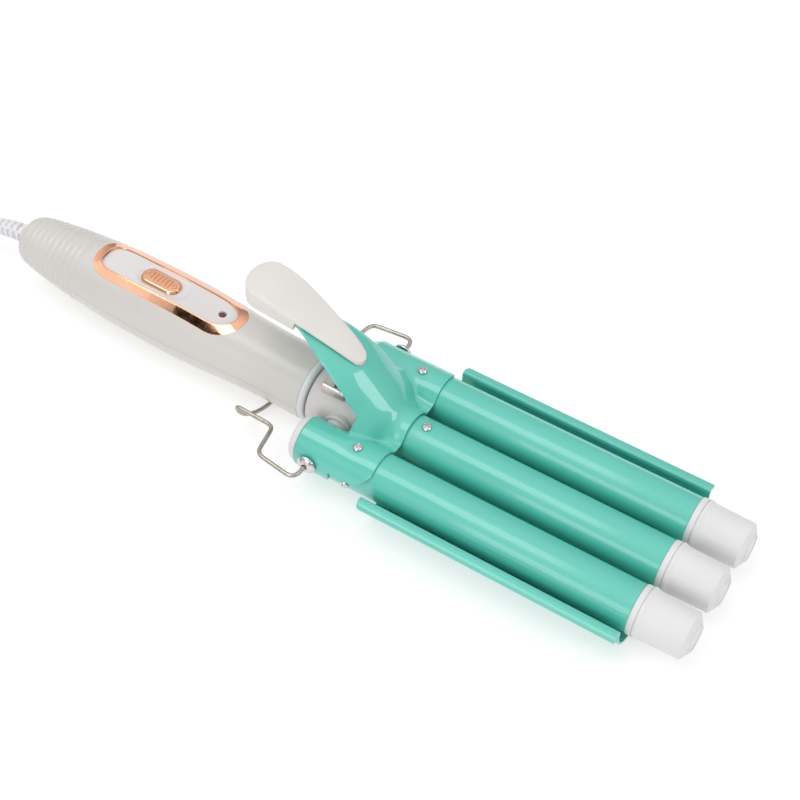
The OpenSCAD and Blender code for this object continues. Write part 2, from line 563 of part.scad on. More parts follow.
coil_x = -432;
coil_y = -35.9;
coil_ri = coil_d / 2 - cord_d;
coil_ro = coil_d / 2 + cord_d;
cr = cord_d / 2;
module cord_lead() color(white) at_tail() sweep(
    route([[-380, 0, -5], [-388, 0, -9.2], [-396, 0, -12.4], [-402, 0, -13.3], [-410, 0, -13.4], [-418, 0, -13.4]], 3), cr, cr, 12);
module cord_coil() color(white) at_tail() translate([coil_x, coil_y, -axis_z]) rotate_extrude() polygon([
    [coil_ri, 1.2], [coil_ri + 1.2, 0], [coil_ro - 1.2, 0], [coil_ro, 1.2], [coil_ro, 4 * cord_d - 1.2], [coil_ro - 1.2, 4 * cord_d],
    [coil_ri + 1.2, 4 * cord_d], [coil_ri, 4 * cord_d - 1.2]
]);
module cord_tail() color(white) at_tail() sweep(
    route([[-432, -71.8, 3.8], [-424, -72, 3.2], [-414, -73.6, 0], [-404, -76, -5.6], [-395, -78, -10], [-386, -79, -11.4], [-378, -79, -10]], 3), cr, cr, 12);

// two-pin plug lying on its flat side, cord end at the left
module plug_body() color(white) at_tail() translate([-378, -79, -axis_z + 7]) {
    along_x() rotate_extrude() polygon([[0, -0.2], [4, -0.2], [4.6, 6], [5.2, 12], [0, 12]]);
    translate([10, -11, -7]) rotate([90, 0, 90]) linear_extrude(20) polygon([
        [2, 0], [20, 0], [22, 2], [22, 12], [20, 14], [2, 14], [0, 12], [0, 2]
    ]);
}
module plug_pins() color(steel) at_tail() for (y = [-6.35, 6.35]) translate([-349, -79 + y - 0.75, -axis_z + 3.85]) cube([17, 1.5, 6.3]);

handle_upper();
handle_lower();
bezel();
control_panel();
led_lens();
circuit_board();
slide_switch();
handle_screws();
cord_clamp();
power_leads();
front_ring();
neck_housing();
spring_bracket();
clamp_spring();
hinge_pins();
middle_barrel();
middle_cap();
middle_wedges();
middle_ptc();
middle_screw();
wing_left();
wing_right();
wing_cradle();
cradle_screws();
jaw_cover();
thumb_pad();
pad_screws();
left_barrel();
right_barrel();
left_cap();
right_cap();
left_plug();
right_plug();
outer_wedges();
outer_ptc();
cover_screws();
side_screws();
switch_knob();
wire_stand();
strain_relief();
cord_lead();
cord_coil();
cord_tail();
plug_body();
plug_pins();
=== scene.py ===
import json
import math

import bmesh
import bpy
import numpy as np
from mathutils import Matrix, Vector
from mathutils.geometry import delaunay_2d_cdt


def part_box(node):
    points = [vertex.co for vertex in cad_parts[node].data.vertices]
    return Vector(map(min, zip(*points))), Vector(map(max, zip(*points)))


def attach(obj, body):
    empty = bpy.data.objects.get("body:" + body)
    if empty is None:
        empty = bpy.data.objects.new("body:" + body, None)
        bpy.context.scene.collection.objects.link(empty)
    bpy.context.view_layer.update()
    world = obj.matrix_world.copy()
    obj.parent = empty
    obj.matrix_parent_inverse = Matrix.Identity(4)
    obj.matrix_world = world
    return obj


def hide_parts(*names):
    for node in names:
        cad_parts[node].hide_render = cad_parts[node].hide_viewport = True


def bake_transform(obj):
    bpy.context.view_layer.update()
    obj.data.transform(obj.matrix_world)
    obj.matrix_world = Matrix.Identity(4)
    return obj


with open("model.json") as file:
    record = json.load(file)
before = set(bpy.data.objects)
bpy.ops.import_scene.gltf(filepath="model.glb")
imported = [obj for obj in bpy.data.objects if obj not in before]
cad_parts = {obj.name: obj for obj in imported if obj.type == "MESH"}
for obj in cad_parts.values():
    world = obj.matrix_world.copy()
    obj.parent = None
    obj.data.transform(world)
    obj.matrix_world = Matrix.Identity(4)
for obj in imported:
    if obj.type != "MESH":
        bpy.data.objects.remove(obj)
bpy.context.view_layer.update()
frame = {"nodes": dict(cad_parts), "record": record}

# ------------------------------------------------------------------ frame
# Sizes below are in millimetres in the barrels' own frame: X = 0 at the barrel fronts, Z = 0 on the barrel axes.
_lo, _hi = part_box("middle_barrel")
XM, AZ = _hi.x, (_lo.z + _hi.z) / 2
PITCH, BR = 26.5, 11.0
TILT = math.radians(1.78)
H_AX = np.array([-math.cos(TILT), 0, math.sin(TILT)])
H_UP = np.array([math.sin(TILT), 0, math.cos(TILT)])
RIM = np.array([-176.0, 0, 1.5])
PX, PZ = -154.5, 1.0


def row(p):
    p = np.asarray(p, float)
    return p * 1e-3 + np.array([XM, 0, AZ])


def hp(s, up, y):
    """A point given along the handle, above its axis and to the left, in the barrels' frame."""
    s, up, y = np.broadcast_arrays(np.asarray(s, float), np.asarray(up, float), np.asarray(y, float))
    return RIM + s[..., None] * H_AX + up[..., None] * H_UP + y[..., None] * np.array([0, 1.0, 0])


# ------------------------------------------------------------------ camera
cam_data = bpy.data.cameras.new("photo_camera")
cam = bpy.data.objects.new("photo_camera", cam_data)
bpy.context.scene.collection.objects.link(cam)
C = row([103.01, -391.42, 550.5])
right = Vector((0.845, 0.535, 0.021)).normalized()
down = Vector((0.417, -0.633, -0.652)).normalized()
fwd = right.cross(down).normalized()
down = fwd.cross(right).normalized()
m = Matrix((right, -down, -fwd)).transposed().to_4x4()
m.translation = Vector(C)
cam.matrix_world = m
cam_data.sensor_width = 36.0
cam_data.lens = 1610.44 / 800 * 36.0
cam_data.clip_start, cam_data.clip_end = 0.01, 20
bpy.context.scene.camera = cam
bpy.context.scene.view_settings.view_transform = "Standard"


# ------------------------------------------------------------------ numbers
def pchip(xs, ys):
    xs, ys = np.array(xs, float), np.array(ys, float)
    h, d = np.diff(xs), np.diff(ys) / np.diff(xs)
    m = np.zeros(len(xs))
    for i in range(1, len(xs) - 1):
        if d[i - 1] * d[i] > 0:
            w1, w2 = 2 * h[i] + h[i - 1], h[i] + 2 * h[i - 1]
            m[i] = (w1 + w2) / (w1 / d[i - 1] + w2 / d[i])
    m[0], m[-1] = d[0], d[-1]

    def f(x):
        x = np.clip(np.asarray(x, float), xs[0], xs[-1])
        i = np.clip(np.searchsorted(xs, x) - 1, 0, len(xs) - 2)
        t = (x - xs[i]) / h[i]
        return (ys[i] * (1 + 2 * t) * (1 - t) ** 2 + m[i] * h[i] * t * (1 - t) ** 2
                + ys[i + 1] * t * t * (3 - 2 * t) + m[i + 1] * h[i] * t * t * (t - 1))

    return f


def spline(xs, ys):
    """Natural cubic spline."""
    xs, ys = np.array(xs, float), np.array(ys, float)
    n, h = len(xs), np.diff(xs)
    A, r = np.eye(n), np.zeros(n)
    for i in range(1, n - 1):
        A[i, i - 1], A[i, i], A[i, i + 1] = h[i - 1], 2 * (h[i - 1] + h[i]), h[i]
        r[i] = 6 * ((ys[i + 1] - ys[i]) / h[i] - (ys[i] - ys[i - 1]) / h[i - 1])
    m = np.linalg.solve(A, r)

    def f(x):
        x = np.clip(np.asarray(x, float), xs[0], xs[-1])
        i = np.clip(np.searchsorted(xs, x) - 1, 0, n - 2)
        a, b = xs[i + 1] - x, x - xs[i]
        return (m[i] * a ** 3 + m[i + 1] * b ** 3) / (6 * h[i]) + (ys[i] / h[i] - m[i] * h[i] / 6) * a + (ys[i + 1] / h[i] - m[i + 1] * h[i] / 6) * b

    return f


def smooth(a, b, x):
    t = np.clip((np.asarray(x, float) - a) / (b - a), 0, 1)
    return t * t * (3 - 2 * t)


def catmull(p, n):
    p = np.array(p, float)
    out = []
    for i in range(len(p) - 1):
        a, b, c, d = p[max(i - 1, 0)], p[i], p[i + 1], p[min(i + 2, len(p) - 1)]
        for k in range(n):
            t = k / n
            out.append(0.5 * (2 * b + (c - a) * t + (2 * a - 5 * b + 4 * c - d) * t * t + (3 * b - a - 3 * c + d) * t ** 3))
    out.append(p[-1])
    return np.array(out)


def rounded(poly, radii, n=5, closed=False):
    """A polyline with its corners turned into arcs."""
    poly = [np.array(q, float) for q in poly]
    count = len(poly)
    if not hasattr(radii, "__len__"):
        radii = [radii] * count
    out = []
    for i, b in enumerate(poly):
        if not closed and i in (0, count - 1) or radii[i] <= 0:
            out.append(b)
            continue
        a, c = poly[i - 1], poly[(i + 1) % count]
        u, v = a - b, c - b
        lu, lv = np.linalg.norm(u), np.linalg.norm(v)
        u, v = u / lu, v / lv
        cosang = np.clip(u @ v, -1, 1)
        half = math.acos(cosang) / 2
        if half > math.pi / 2 - 0.02:
            out.append(b)
            continue
        t = min(radii[i] / math.tan(half), 0.47 * lu, 0.47 * lv)
        r = t * math.tan(half)
        centre = b + (u + v) / np.linalg.norm(u + v) * (r / math.sin(half))
        p0, p1 = b + u * t - centre, b + v * t - centre
        total = math.pi - 2 * half
        for k in range(n + 1):
            w = k / n
            q = (math.sin((1 - w) * total) * p0 + math.sin(w * total) * p1) / math.sin(total)
            out.append(centre + q)
    return np.array(out)


def spaced(poly, step, closed=False):
    """The same line with points at about one distance from each other."""
    p = np.array(poly, float)
    if closed:
        p = np.vstack([p, p[:1]])
    seg = np.linalg.norm(np.diff(p, axis=0), axis=1)
    keep = np.concatenate([[True], seg > 1e-9])
    p = p[keep]
    s = np.concatenate([[0], np.cumsum(np.linalg.norm(np.diff(p, axis=0), axis=1))])
    n = max(2, int(round(s[-1] / step)) + 1)
    t = np.linspace(0, s[-1], n)
    q = np.stack([np.interp(t, s, p[:, i]) for i in range(p.shape[1])], 1)
    return q[:-1] if closed else q


# ------------------------------------------------------------------ mesh makers
def make(name, verts, faces, mat, body, replaces=(), angle=35, bevel=0.0, bevel_seg=2, bevel_angle=40, flip=False, recalc=True, weighted=True):
    me = bpy.data.meshes.new(name)
    me.from_pydata([tuple(v) for v in row(verts)], [], [tuple(int(i) for i in f) for f in faces])
    bm = bmesh.new()
    bm.from_mesh(me)
    bmesh.ops.remove_doubles(bm, verts=bm.verts, dist=1e-7)
    if recalc:
        bmesh.ops.recalc_face_normals(bm, faces=bm.faces)
    if flip:
        bmesh.ops.reverse_faces(bm, faces=bm.faces)
    bm.to_mesh(me)
    bm.free()
    ob = bpy.data.objects.new(name, me)
    bpy.context.scene.collection.objects.link(ob)
    finish_piece(ob, mat, body, replaces, angle, bevel, bevel_seg, bevel_angle, weighted)
    return ob


def finish_piece(ob, mat, body, replaces=(), angle=35, bevel=0.0, bevel_seg=2, bevel_angle=40, weighted=True):
    me = ob.data
    me.materials.clear()
    me.materials.append(mat)
    me.shade_smooth()
    me.set_sharp_from_angle(angle=math.radians(angle))
    if bevel:
        b = ob.modifiers.new("edges", "BEVEL")
        b.width, b.segments, b.limit_method, b.angle_limit = bevel * 1e-3, bevel_seg, "ANGLE", math.radians(bevel_angle)
        b.use_clamp_overlap = True
        b.miter_outer = "MITER_ARC"
        b.harden_normals = False
        for e in me.edges:
            e.use_edge_sharp = False
        if weighted:
            w = ob.modifiers.new("normals", "WEIGHTED_NORMAL")
            w.keep_sharp, w.weight, w.mode = True, 60, "FACE_AREA"
    if body:
        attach(ob, body)
    if replaces:
        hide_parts(*([replaces] if isinstance(replaces, str) else replaces))


def merge(parts):
    """Joins (verts, faces) lists."""
    vs, fs, base = [], [], 0
    for v, f in parts:
        v = np.asarray(v, float)
        vs.append(v)
        fs += [tuple(int(i) + base for i in q) for q in f]
        base += len(v)
    return np.vstack(vs), fs


def lathe(profile, origin, axis, seg=96, closed=False, up=None):
    """profile: (place along the axis, radius) from one end to the other."""
    axis = np.array(axis, float) / np.linalg.norm(axis)
    up = np.array([0, 0, 1.0]) if up is None and abs(axis[2]) < 0.9 else np.array([1.0, 0, 0]) if up is None else np.array(up, float)
    e1 = np.cross(up, axis)
    e1 /= np.linalg.norm(e1)
    e2 = np.cross(axis, e1)
    a = np.linspace(0, 2 * math.pi, seg, endpoint=False)
    ring = np.cos(a)[:, None] * e1 + np.sin(a)[:, None] * e2
    verts, faces, rows = [], [], []
    for x, r in profile:
        if r < 1e-6:
            rows.append([len(verts)])
            verts.append(np.array(origin, float) + axis * x)
        else:
            rows.append(list(range(len(verts), len(verts) + seg)))
            verts += list(np.array(origin, float) + axis * x + ring * r)
    pairs = list(zip(rows[:-1], rows[1:])) + ([(rows[-1], rows[0])] if closed else [])
    for p, q in pairs:
        if len(p) == 1 and len(q) == 1:
            continue
        for k in range(seg):
            j = (k + 1) % seg
            if len(p) == 1:
                faces.append((p[0], q[j], q[k]))
            elif len(q) == 1:
                faces.append((p[k], p[j], q[0]))
            else:
                faces.append((p[k], p[j], q[j], q[k]))
    return np.array(verts), faces


def frames(path):
    p = np.array(path, float)
    t = np.gradient(p, axis=0)
    t /= np.linalg.norm(t, axis=1)[:, None]
    ref = np.array([0, 0, 1.0]) if abs(t[0][2]) < 0.9 else np.array([1.0, 0, 0])
    n = np.cross(t[0], ref)
    n /= np.linalg.norm(n)
    ns = []
    for i in range(len(p)):
        n = n - (n @ t[i]) * t[i]
        n /= np.linalg.norm(n)
        ns.append(n.copy())
    ns = np.array(ns)
    return p, t, ns, np.cross(t, ns)


def tube(path, r, sides=20, caps=True):
    p, t, n, b = frames(path)
    r = np.broadcast_to(np.asarray(r, float), (len(p),))
    a = np.linspace(0, 2 * math.pi, sides, endpoint=False)
    verts = (p[:, None, :] + r[:, None, None] * (np.cos(a)[None, :, None] * n[:, None, :] + np.sin(a)[None, :, None] * b[:, None, :])).reshape(-1, 3)
    faces = []
    for i in range(len(p) - 1):
        for k in range(sides):
            j = (k + 1) % sides
            faces.append((i * sides + k, i * sides + j, (i + 1) * sides + j, (i + 1) * sides + k))
    if caps:
        faces.append(tuple(range(sides - 1, -1, -1)))
        faces.append(tuple((len(p) - 1) * sides + k for k in range(sides)))
    return verts, faces


def grid(points, close_u=False, close_v=False):
    """points[i][j] -> quads"""
    pts = np.asarray(points, float)
    nu, nv = pts.shape[:2]
    faces = []
    for i in range(nu if close_u else nu - 1):
        for j in range(nv if close_v else nv - 1):
            faces.append((i * nv + j, ((i + 1) % nu) * nv + j, ((i + 1) % nu) * nv + (j + 1) % nv, i * nv + (j + 1) % nv))
    return pts.reshape(-1, 3), faces


def inside(poly, x, y):
    poly = np.asarray(poly, float)
    x, y = np.asarray(x, float), np.asarray(y, float)
    res = np.zeros(x.shape, bool)
    a, b = poly, np.roll(poly, -1, axis=0)
    for (x0, y0), (x1, y1) in zip(a, b):
        if y0 == y1:
            continue
        hit = ((y0 > y) != (y1 > y)) & (x < (x1 - x0) * (y - y0) / (y1 - y0) + x0)
        res ^= hit
    return res


def away(poly, pts, closed=True):
    """Distance of each point to a polyline."""
    poly = np.asarray(poly, float)
    a = poly if closed else poly[:-1]
    b = np.roll(poly, -1, axis=0) if closed else poly[1:]
    best = np.full(len(pts), 1e9)
    for p, q in zip(a, b):
        d = q - p
        l2 = d @ d
        t = np.clip(((pts - p) @ d) / l2, 0, 1) if l2 > 0 else np.zeros(len(pts))
        best = np.minimum(best, np.linalg.norm(pts - (p + t[:, None] * d), axis=1))
    return best


def fill(outline, holes=(), lines=(), step=1.0, step_y=None):
    """Triangles over a flat region, even inside, exact along its edges and along the given lines."""
    step_y = step_y or step
    outline = spaced(outline, step, True)
    holes = [spaced(h, step * 0.6, True) for h in holes]
    lines = [spaced(l, step) for l in lines]
    lo, hi = outline.min(0), outline.max(0)
    gx = np.arange(lo[0] + step * 0.5, hi[0], step)
    gy = np.arange(lo[1] + step_y * 0.5, hi[1], step_y)
    X, Y = np.meshgrid(gx, gy, indexing="ij")
    X = X + (np.arange(len(gy)) % 2)[None, :] * step * 0.5
    pts = np.stack([X.ravel(), Y.ravel()], 1)
    ok = inside(outline, pts[:, 0], pts[:, 1])
    for h in holes:
        ok &= ~inside(h, pts[:, 0], pts[:, 1])
    pts = pts[ok]
    near = away(outline, pts)
    for h in holes:
        near = np.minimum(near, away(h, pts))
    for l in lines:
        near = np.minimum(near, away(l, pts, False))
    pts = pts[near > step * 0.55]
    coords, edges = [], []
    for loop in [outline, *holes]:
        b = len(coords)
        coords += [Vector(q) for q in loop]
        edges += [(b + i, b + (i + 1) % len(loop)) for i in range(len(loop))]
    for l in lines:
        b = len(coords)
        coords += [Vector(q) for q in l]
        edges += [(b + i, b + i + 1) for i in range(len(l) - 1)]
    coords += [Vector(q) for q in pts]
    vs, _, fs, *_ = delaunay_2d_cdt(coords, edges, [], 0, 1e-6)
    vs = np.array([(v.x, v.y) for v in vs])
    fs = [f for f in fs]
    cen = np.array([vs[list(f)].mean(0) for f in fs])
    ok = inside(outline, cen[:, 0], cen[:, 1])
    for h in holes:
        ok &= ~inside(h, cen[:, 0], cen[:, 1])
    return vs, [f for f, k in zip(fs, ok) if k]


def shell(vs, fs, F, thick, side=1.0):
    """A sheet of that thickness: its outer face is F(u, v), and its inner face lies below it."""
    e = 1e-2
    top = F(vs[:, 0], vs[:, 1])
    fu = F(vs[:, 0] + e, vs[:, 1]) - F(vs[:, 0] - e, vs[:, 1])
    fv = F(vs[:, 0], vs[:, 1] + e) - F(vs[:, 0], vs[:, 1] - e)
    n = np.cross(fu, fv)
    n /= np.maximum(np.linalg.norm(n, axis=1), 1e-12)[:, None]
    n *= side
    low = top - n * thick
    count = {}
    for f in fs:
        for a, b in zip(f, f[1:] + f[:1] if isinstance(f, list) else tuple(f[1:]) + tuple(f[:1])):
            count[(a, b)] = count.get((a, b), 0) + 1
    N = len(vs)
    faces = [tuple(f) for f in fs] + [tuple(i + N for i in reversed(f)) for f in fs]
    for (a, b) in count:
        if (b, a) not in count:
            faces.append((b, a, a + N, b + N))
    return np.vstack([top, low]), faces


# ------------------------------------------------------------------ materials
def new_mat(name):
    mat = bpy.data.materials.new(name)
    mat.use_nodes = True
    nt = mat.node_tree
    bsdf = nt.nodes["Principled BSDF"]
    return mat, nt, bsdf


def srgb(r, g, b):
    f = lambda c: c / 12.92 if c <= 0.04045 else ((c + 0.055) / 1.055) ** 2.4
    return (f(r / 255), f(g / 255), f(b / 255), 1.0)


def surface(name, colour, colour2, rough, rough2, scale=60.0, metal=0.0, coat=0.0, coat_rough=0.1, bump=0.0, bump_scale=900.0,
            detail=3.0, edge_highlight=None, spec=0.5, stretch=None, sheen=0.0, subsurface=0.0, bump2=0.0, bump2_scale=60.0):
    """A surface whose colour and gloss drift a little over it, with fine relief; it can also carry a painted highlight,
    a lighter colour laid on the sharp convex edges.
    """
    mat, nt, b = new_mat(name)
    N, L = nt.nodes, nt.links
    tc = N.new("ShaderNodeTexCoord")
    mp = N.new("ShaderNodeMapping")
    if stretch:
        mp.inputs["Scale"].default_value = stretch
    L.new(tc.outputs["Object"], mp.inputs["Vector"])
    n1 = N.new("ShaderNodeTexNoise")
    n1.inputs["Scale"].default_value, n1.inputs["Detail"].default_value = scale, detail
    L.new(mp.outputs["Vector"], n1.inputs["Vector"])
    r1 = N.new("ShaderNodeValToRGB")
    r1.color_ramp.elements[0].position, r1.color_ramp.elements[0].color = 0.32, colour
    r1.color_ramp.elements[1].position, r1.color_ramp.elements[1].color = 0.68, colour2
    L.new(n1.outputs["Fac"], r1.inputs["Fac"])
    out = r1.outputs["Color"]
    # painted highlight: where pointiness marks a sharp convex edge, the colour turns to the given lighter tint
    if edge_highlight is not None:
        geo = N.new("ShaderNodeNewGeometry")
        er = N.new("ShaderNodeValToRGB")
        er.color_ramp.elements[0].position, er.color_ramp.elements[0].color = 0.53, (0, 0, 0, 1)
        er.color_ramp.elements[1].position, er.color_ramp.elements[1].color = 0.62, (1, 1, 1, 1)
        L.new(geo.outputs["Pointiness"], er.inputs["Fac"])
        mx = N.new("ShaderNodeMix")
        mx.data_type = "RGBA"
        L.new(er.outputs["Color"], mx.inputs["Factor"])
        L.new(out, mx.inputs["A"])
        mx.inputs["B"].default_value = edge_highlight
        out = mx.outputs["Result"]
    L.new(out, b.inputs["Base Color"])
    n2 = N.new("ShaderNodeTexNoise")
    n2.inputs["Scale"].default_value, n2.inputs["Detail"].default_value = scale * 3.1, 4.0
    L.new(mp.outputs["Vector"], n2.inputs["Vector"])
    r2 = N.new("ShaderNodeMapRange")
    r2.inputs["From Min"].default_value, r2.inputs["From Max"].default_value = 0.3, 0.7
    r2.inputs["To Min"].default_value, r2.inputs["To Max"].default_value = rough, rough2
    L.new(n2.outputs["Fac"], r2.inputs["Value"])
    L.new(r2.outputs["Result"], b.inputs["Roughness"])
    b.inputs["Metallic"].default_value = metal
    b.inputs["Specular IOR Level"].default_value = spec
    b.inputs["Coat Weight"].default_value = coat
    b.inputs["Coat Roughness"].default_value = coat_rough
    b.inputs["Sheen Weight"].default_value = sheen
    if subsurface:
        b.inputs["Subsurface Weight"].default_value = subsurface
        b.inputs["Subsurface Radius"].default_value = (0.004, 0.003, 0.0025)
    normal = None
    for strength, sc, dist in ((bump2, bump2_scale, 0.0006), (bump, bump_scale, 0.0002)):
        if not strength:
            continue
        n3 = N.new("ShaderNodeTexNoise")
        n3.inputs["Scale"].default_value, n3.inputs["Detail"].default_value = sc, 2.0
        L.new(mp.outputs["Vector"], n3.inputs["Vector"])
        bp = N.new("ShaderNodeBump")
        bp.inputs["Strength"].default_value, bp.inputs["Distance"].default_value = strength, dist
        L.new(n3.outputs["Fac"], bp.inputs["Height"])
        if normal is not None:
            L.new(normal, bp.inputs["Normal"])
        normal = bp.outputs["Normal"]
    if normal is not None:
        L.new(normal, b.inputs["Normal"])
    return mat


MINT = surface("mint_barrel", (0.064, 0.50, 0.402, 1), (0.069, 0.518, 0.418, 1), 0.46, 0.52, scale=30, spec=0.9, coat=0.9, coat_rough=0.12, bump=0.03, bump_scale=1400)
# the pressed cover's sharp edges carry a painted highlight in a lighter mint
ENAMEL = surface("mint_enamel", (0.064, 0.505, 0.405, 1), (0.069, 0.523, 0.421, 1), 0.48, 0.54, scale=35, spec=0.9, coat=1.0, coat_rough=0.06, bump=0.02, bump_scale=1400, edge_highlight=(0.24, 0.78, 0.67, 1))
IVORY = surface("ivory_shell", srgb(202, 199, 194), srgb(206, 203, 198), 0.30, 0.38, scale=30, coat=0.25, coat_rough=0.2, bump=0.04, bump_scale=1800, subsurface=0.05)
WHITE = surface("white_moulding", srgb(217, 216, 217), srgb(221, 220, 221), 0.46, 0.54, scale=40, coat=0.05, coat_rough=0.3, bump=0.05, bump_scale=1700, subsurface=0.05)
PADMAT = surface("pad_moulding", srgb(216, 213, 208), srgb(220, 217, 212), 0.42, 0.5, scale=40, bump=0.08, bump_scale=2200, subsurface=0.05)
GREY = surface("neck_moulding", srgb(208, 202, 201), srgb(213, 207, 206), 0.42, 0.5, scale=40, bump=0.06, bump_scale=1900)
PANEL = surface("panel_moulding", srgb(214, 211, 210), srgb(218, 215, 214), 0.36, 0.44, scale=40, coat=0.15, coat_rough=0.2, bump=0.05, bump_scale=1900, subsurface=0.05)
ROSE = surface("rose_gold", srgb(246, 190, 156), srgb(243, 183, 149), 0.07, 0.13, scale=90, metal=1.0, bump=0.01, bump_scale=700)
STEEL = surface("drawn_wire", srgb(172, 166, 156), srgb(188, 183, 174), 0.24, 0.36, scale=500, metal=1.0, bump=0.08, bump_scale=3000)
CHROME = surface("bright_zinc", srgb(205, 204, 206), srgb(216, 215, 217), 0.10, 0.2, scale=300, metal=1.0, bump=0.03, bump_scale=2500)
PLATE = surface("bracket_steel", srgb(196, 191, 184), srgb(208, 203, 196), 0.28, 0.40, scale=260, metal=1.0, bump=0.08, bump_scale=1500)
RUBBER = surface("cord_vinyl", srgb(226, 225, 228), srgb(231, 230, 233), 0.40, 0.5, scale=50, bump=0.1, bump_scale=1500, subsurface=0.05)
LENS = surface("led_lens", srgb(86, 20, 20), srgb(104, 26, 24), 0.08, 0.14, scale=900, coat=0.6, coat_rough=0.05, bump=0.02)
BOARD = surface("board", srgb(30, 96, 56), srgb(36, 108, 62), 0.4, 0.5, scale=600, bump=0.1)
BLACK = surface("black_moulding", srgb(34, 34, 36), srgb(44, 44, 46), 0.4, 0.55, scale=300, bump=0.1)
ALU = surface("aluminium", srgb(190, 192, 196), srgb(204, 206, 210), 0.3, 0.42, scale=200, metal=1.0, bump=0.06, stretch=(0.05, 1, 1))
HEATER = surface("heater_film", srgb(120, 78, 44), srgb(140, 92, 54), 0.3, 0.5, scale=400, bump=0.1)
LEAD = surface("lead_silicone", srgb(150, 40, 30), srgb(166, 48, 36), 0.4, 0.5, scale=400, bump=0.1)

by_slot = {"mint_enamel": MINT, "ivory_shell": IVORY, "white_cap": WHITE, "grey_neck": GREY, "rose_gold": ROSE, "steel_wire": STEEL, "bright_zinc": CHROME,
           "red_lens": LENS, "white_rubber": RUBBER, "board": BOARD, "black_plastic": BLACK, "aluminium": ALU, "heater": HEATER, "lead_cover": LEAD}
for sp in frame["record"]["subparts"]:
    ob = frame["nodes"][sp["node"]]
    ob.data.materials.clear()
    ob.data.materials.append(by_slot[sp["material_slot"]])

# ------------------------------------------------------------------ cord
CD = 5.8
lead = catmull([(-343, 0, 6.6), (-352, 0, 6), (-362, 0, 3.6), (-372, 0, -0.6), (-380, 0, -5), (-388, 0, -9.2), (-396, 0, -12.4), (-402, 0, -13.3), (-410, 0, -13.5), (-420, 0, -13.5)], 3)
cx, cy, r_out, r_in, z0 = -432.0, -35.9, 35.9, 30.1, -16.4 + CD / 2
tie_at = math.radians(180)
coil = []
turns = 7.5
for i in range(1, int(turns * 24) + 1):
    w = i / 24  # turns so far
    th = math.pi / 2 + 2 * math.pi * w
    level, part = int(w // 2), w % 2
    if level > 3:
        level, part = 3, 2.0
    inward = level % 2 == 0
    g = smooth(0.8, 1.15, part)  # from one ring of turns to the other
    rad = r_out + (r_in - r_out) * g if inward else r_in + (r_out - r_in) * g
    z = z0 + CD * level + CD * smooth(1.72, 2.0, part) * (level < 3)
    d = (th - tie_at + math.pi) % (2 * math.pi) - math.pi
    pull = 1 - 0.09 * math.exp(-(d / 0.22) ** 2)  # the tie gathers the turns
    mid_r, mid_z = (r_out + r_in) / 2, z0 + 1.5 * CD
    rad, z = mid_r + (rad - mid_r) * pull, mid_z + (z - mid_z) * pull
    coil.append((cx + rad * math.cos(th), cy + rad * math.sin(th), z))
tail = catmull([coil[-1], (-424, -72, 3.2), (-414, -73.6, 0), (-404, -76, -5.6), (-395, -78, -10), (-386, -79, -11.2), (-378, -79, -9.6), (-370, -79, -9.4)], 4)[1:]
cord_pts = np.vstack([lead, coil, tail])
cu = bpy.data.curves.new("mains_cord", "CURVE")
cu.dimensions = "3D"
sp = cu.splines.new("POLY")
sp.points.add(len(cord_pts) - 1)
for q, p in zip(sp.points, row(cord_pts)):
    q.co = (*p, 1)
cu.bevel_depth, cu.bevel_resolution = CD / 2000, 4
cu.use_fill_caps = True
for s_ in cu.splines:
    s_.use_smooth = True
cord = bpy.data.objects.new("mains_cord", cu)
bpy.context.scene.collection.objects.link(cord)
cu.materials.append(RUBBER)
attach(cord, "handle")
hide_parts("cord_lead", "cord_coil", "cord_tail")

# strain relief: tapered sleeve with two rows of staggered slots
rel_path = catmull([(-339.5, 0, 6.5), (-344, 0, 6.6), (-352, 0, 6), (-362, 0, 3.6), (-372, 0, -0.6), (-380, 0, -5)], 14)
p_, t_, n_, b_ = frames(rel_path)
arc = np.concatenate([[0], np.cumsum(np.linalg.norm(np.diff(p_, axis=0), axis=1))])
fine = np.linspace(0, arc[-1], 190)
pp = np.stack([np.interp(fine, arc, p_[:, k]) for k in range(3)], 1)
p_, t_, n_, b_ = frames(pp)
sides = 64
ang = np.linspace(0, 2 * math.pi, sides, endpoint=False)
rel = np.zeros((len(fine), sides, 3))
for i, s_ in enumerate(fine):
    base = 4.85 - 1.25 * s_ / arc[-1]
    for k, a in enumerate(ang):
        r = base
        if 5.2 < s_ < arc[-1] - 1.6:
            # four fields of slots round the sleeve; neighbouring fields are half a step apart
            field = int(((a + math.pi / 4) % (2 * math.pi)) // (math.pi / 2))
            off = (a + math.pi / 4) % (math.pi / 2) - math.pi / 4
            ph = ((s_ - 5.2) / 3.7 + (0.5 if field % 2 else 0)) % 1
            across = float(smooth(0.66, 0.58, abs(off)))
            along = float(smooth(0.30, 0.22, abs(ph - 0.5)))
            r = base - 1.35 * across * along
        if s_ < 1.0:
            r = base + 0.0
        rel[i, k] = p_[i] + r * (math.cos(a) * n_[i] + math.sin(a) * b_[i])
v, f = grid(rel, close_v=True)
f += [tuple(range(sides - 1, -1, -1)), tuple((len(fine) - 1) * sides + k for k in range(sides))]
relief = make("strain_relief_sleeve", v, f, RUBBER, "handle", "strain_relief", angle=50)

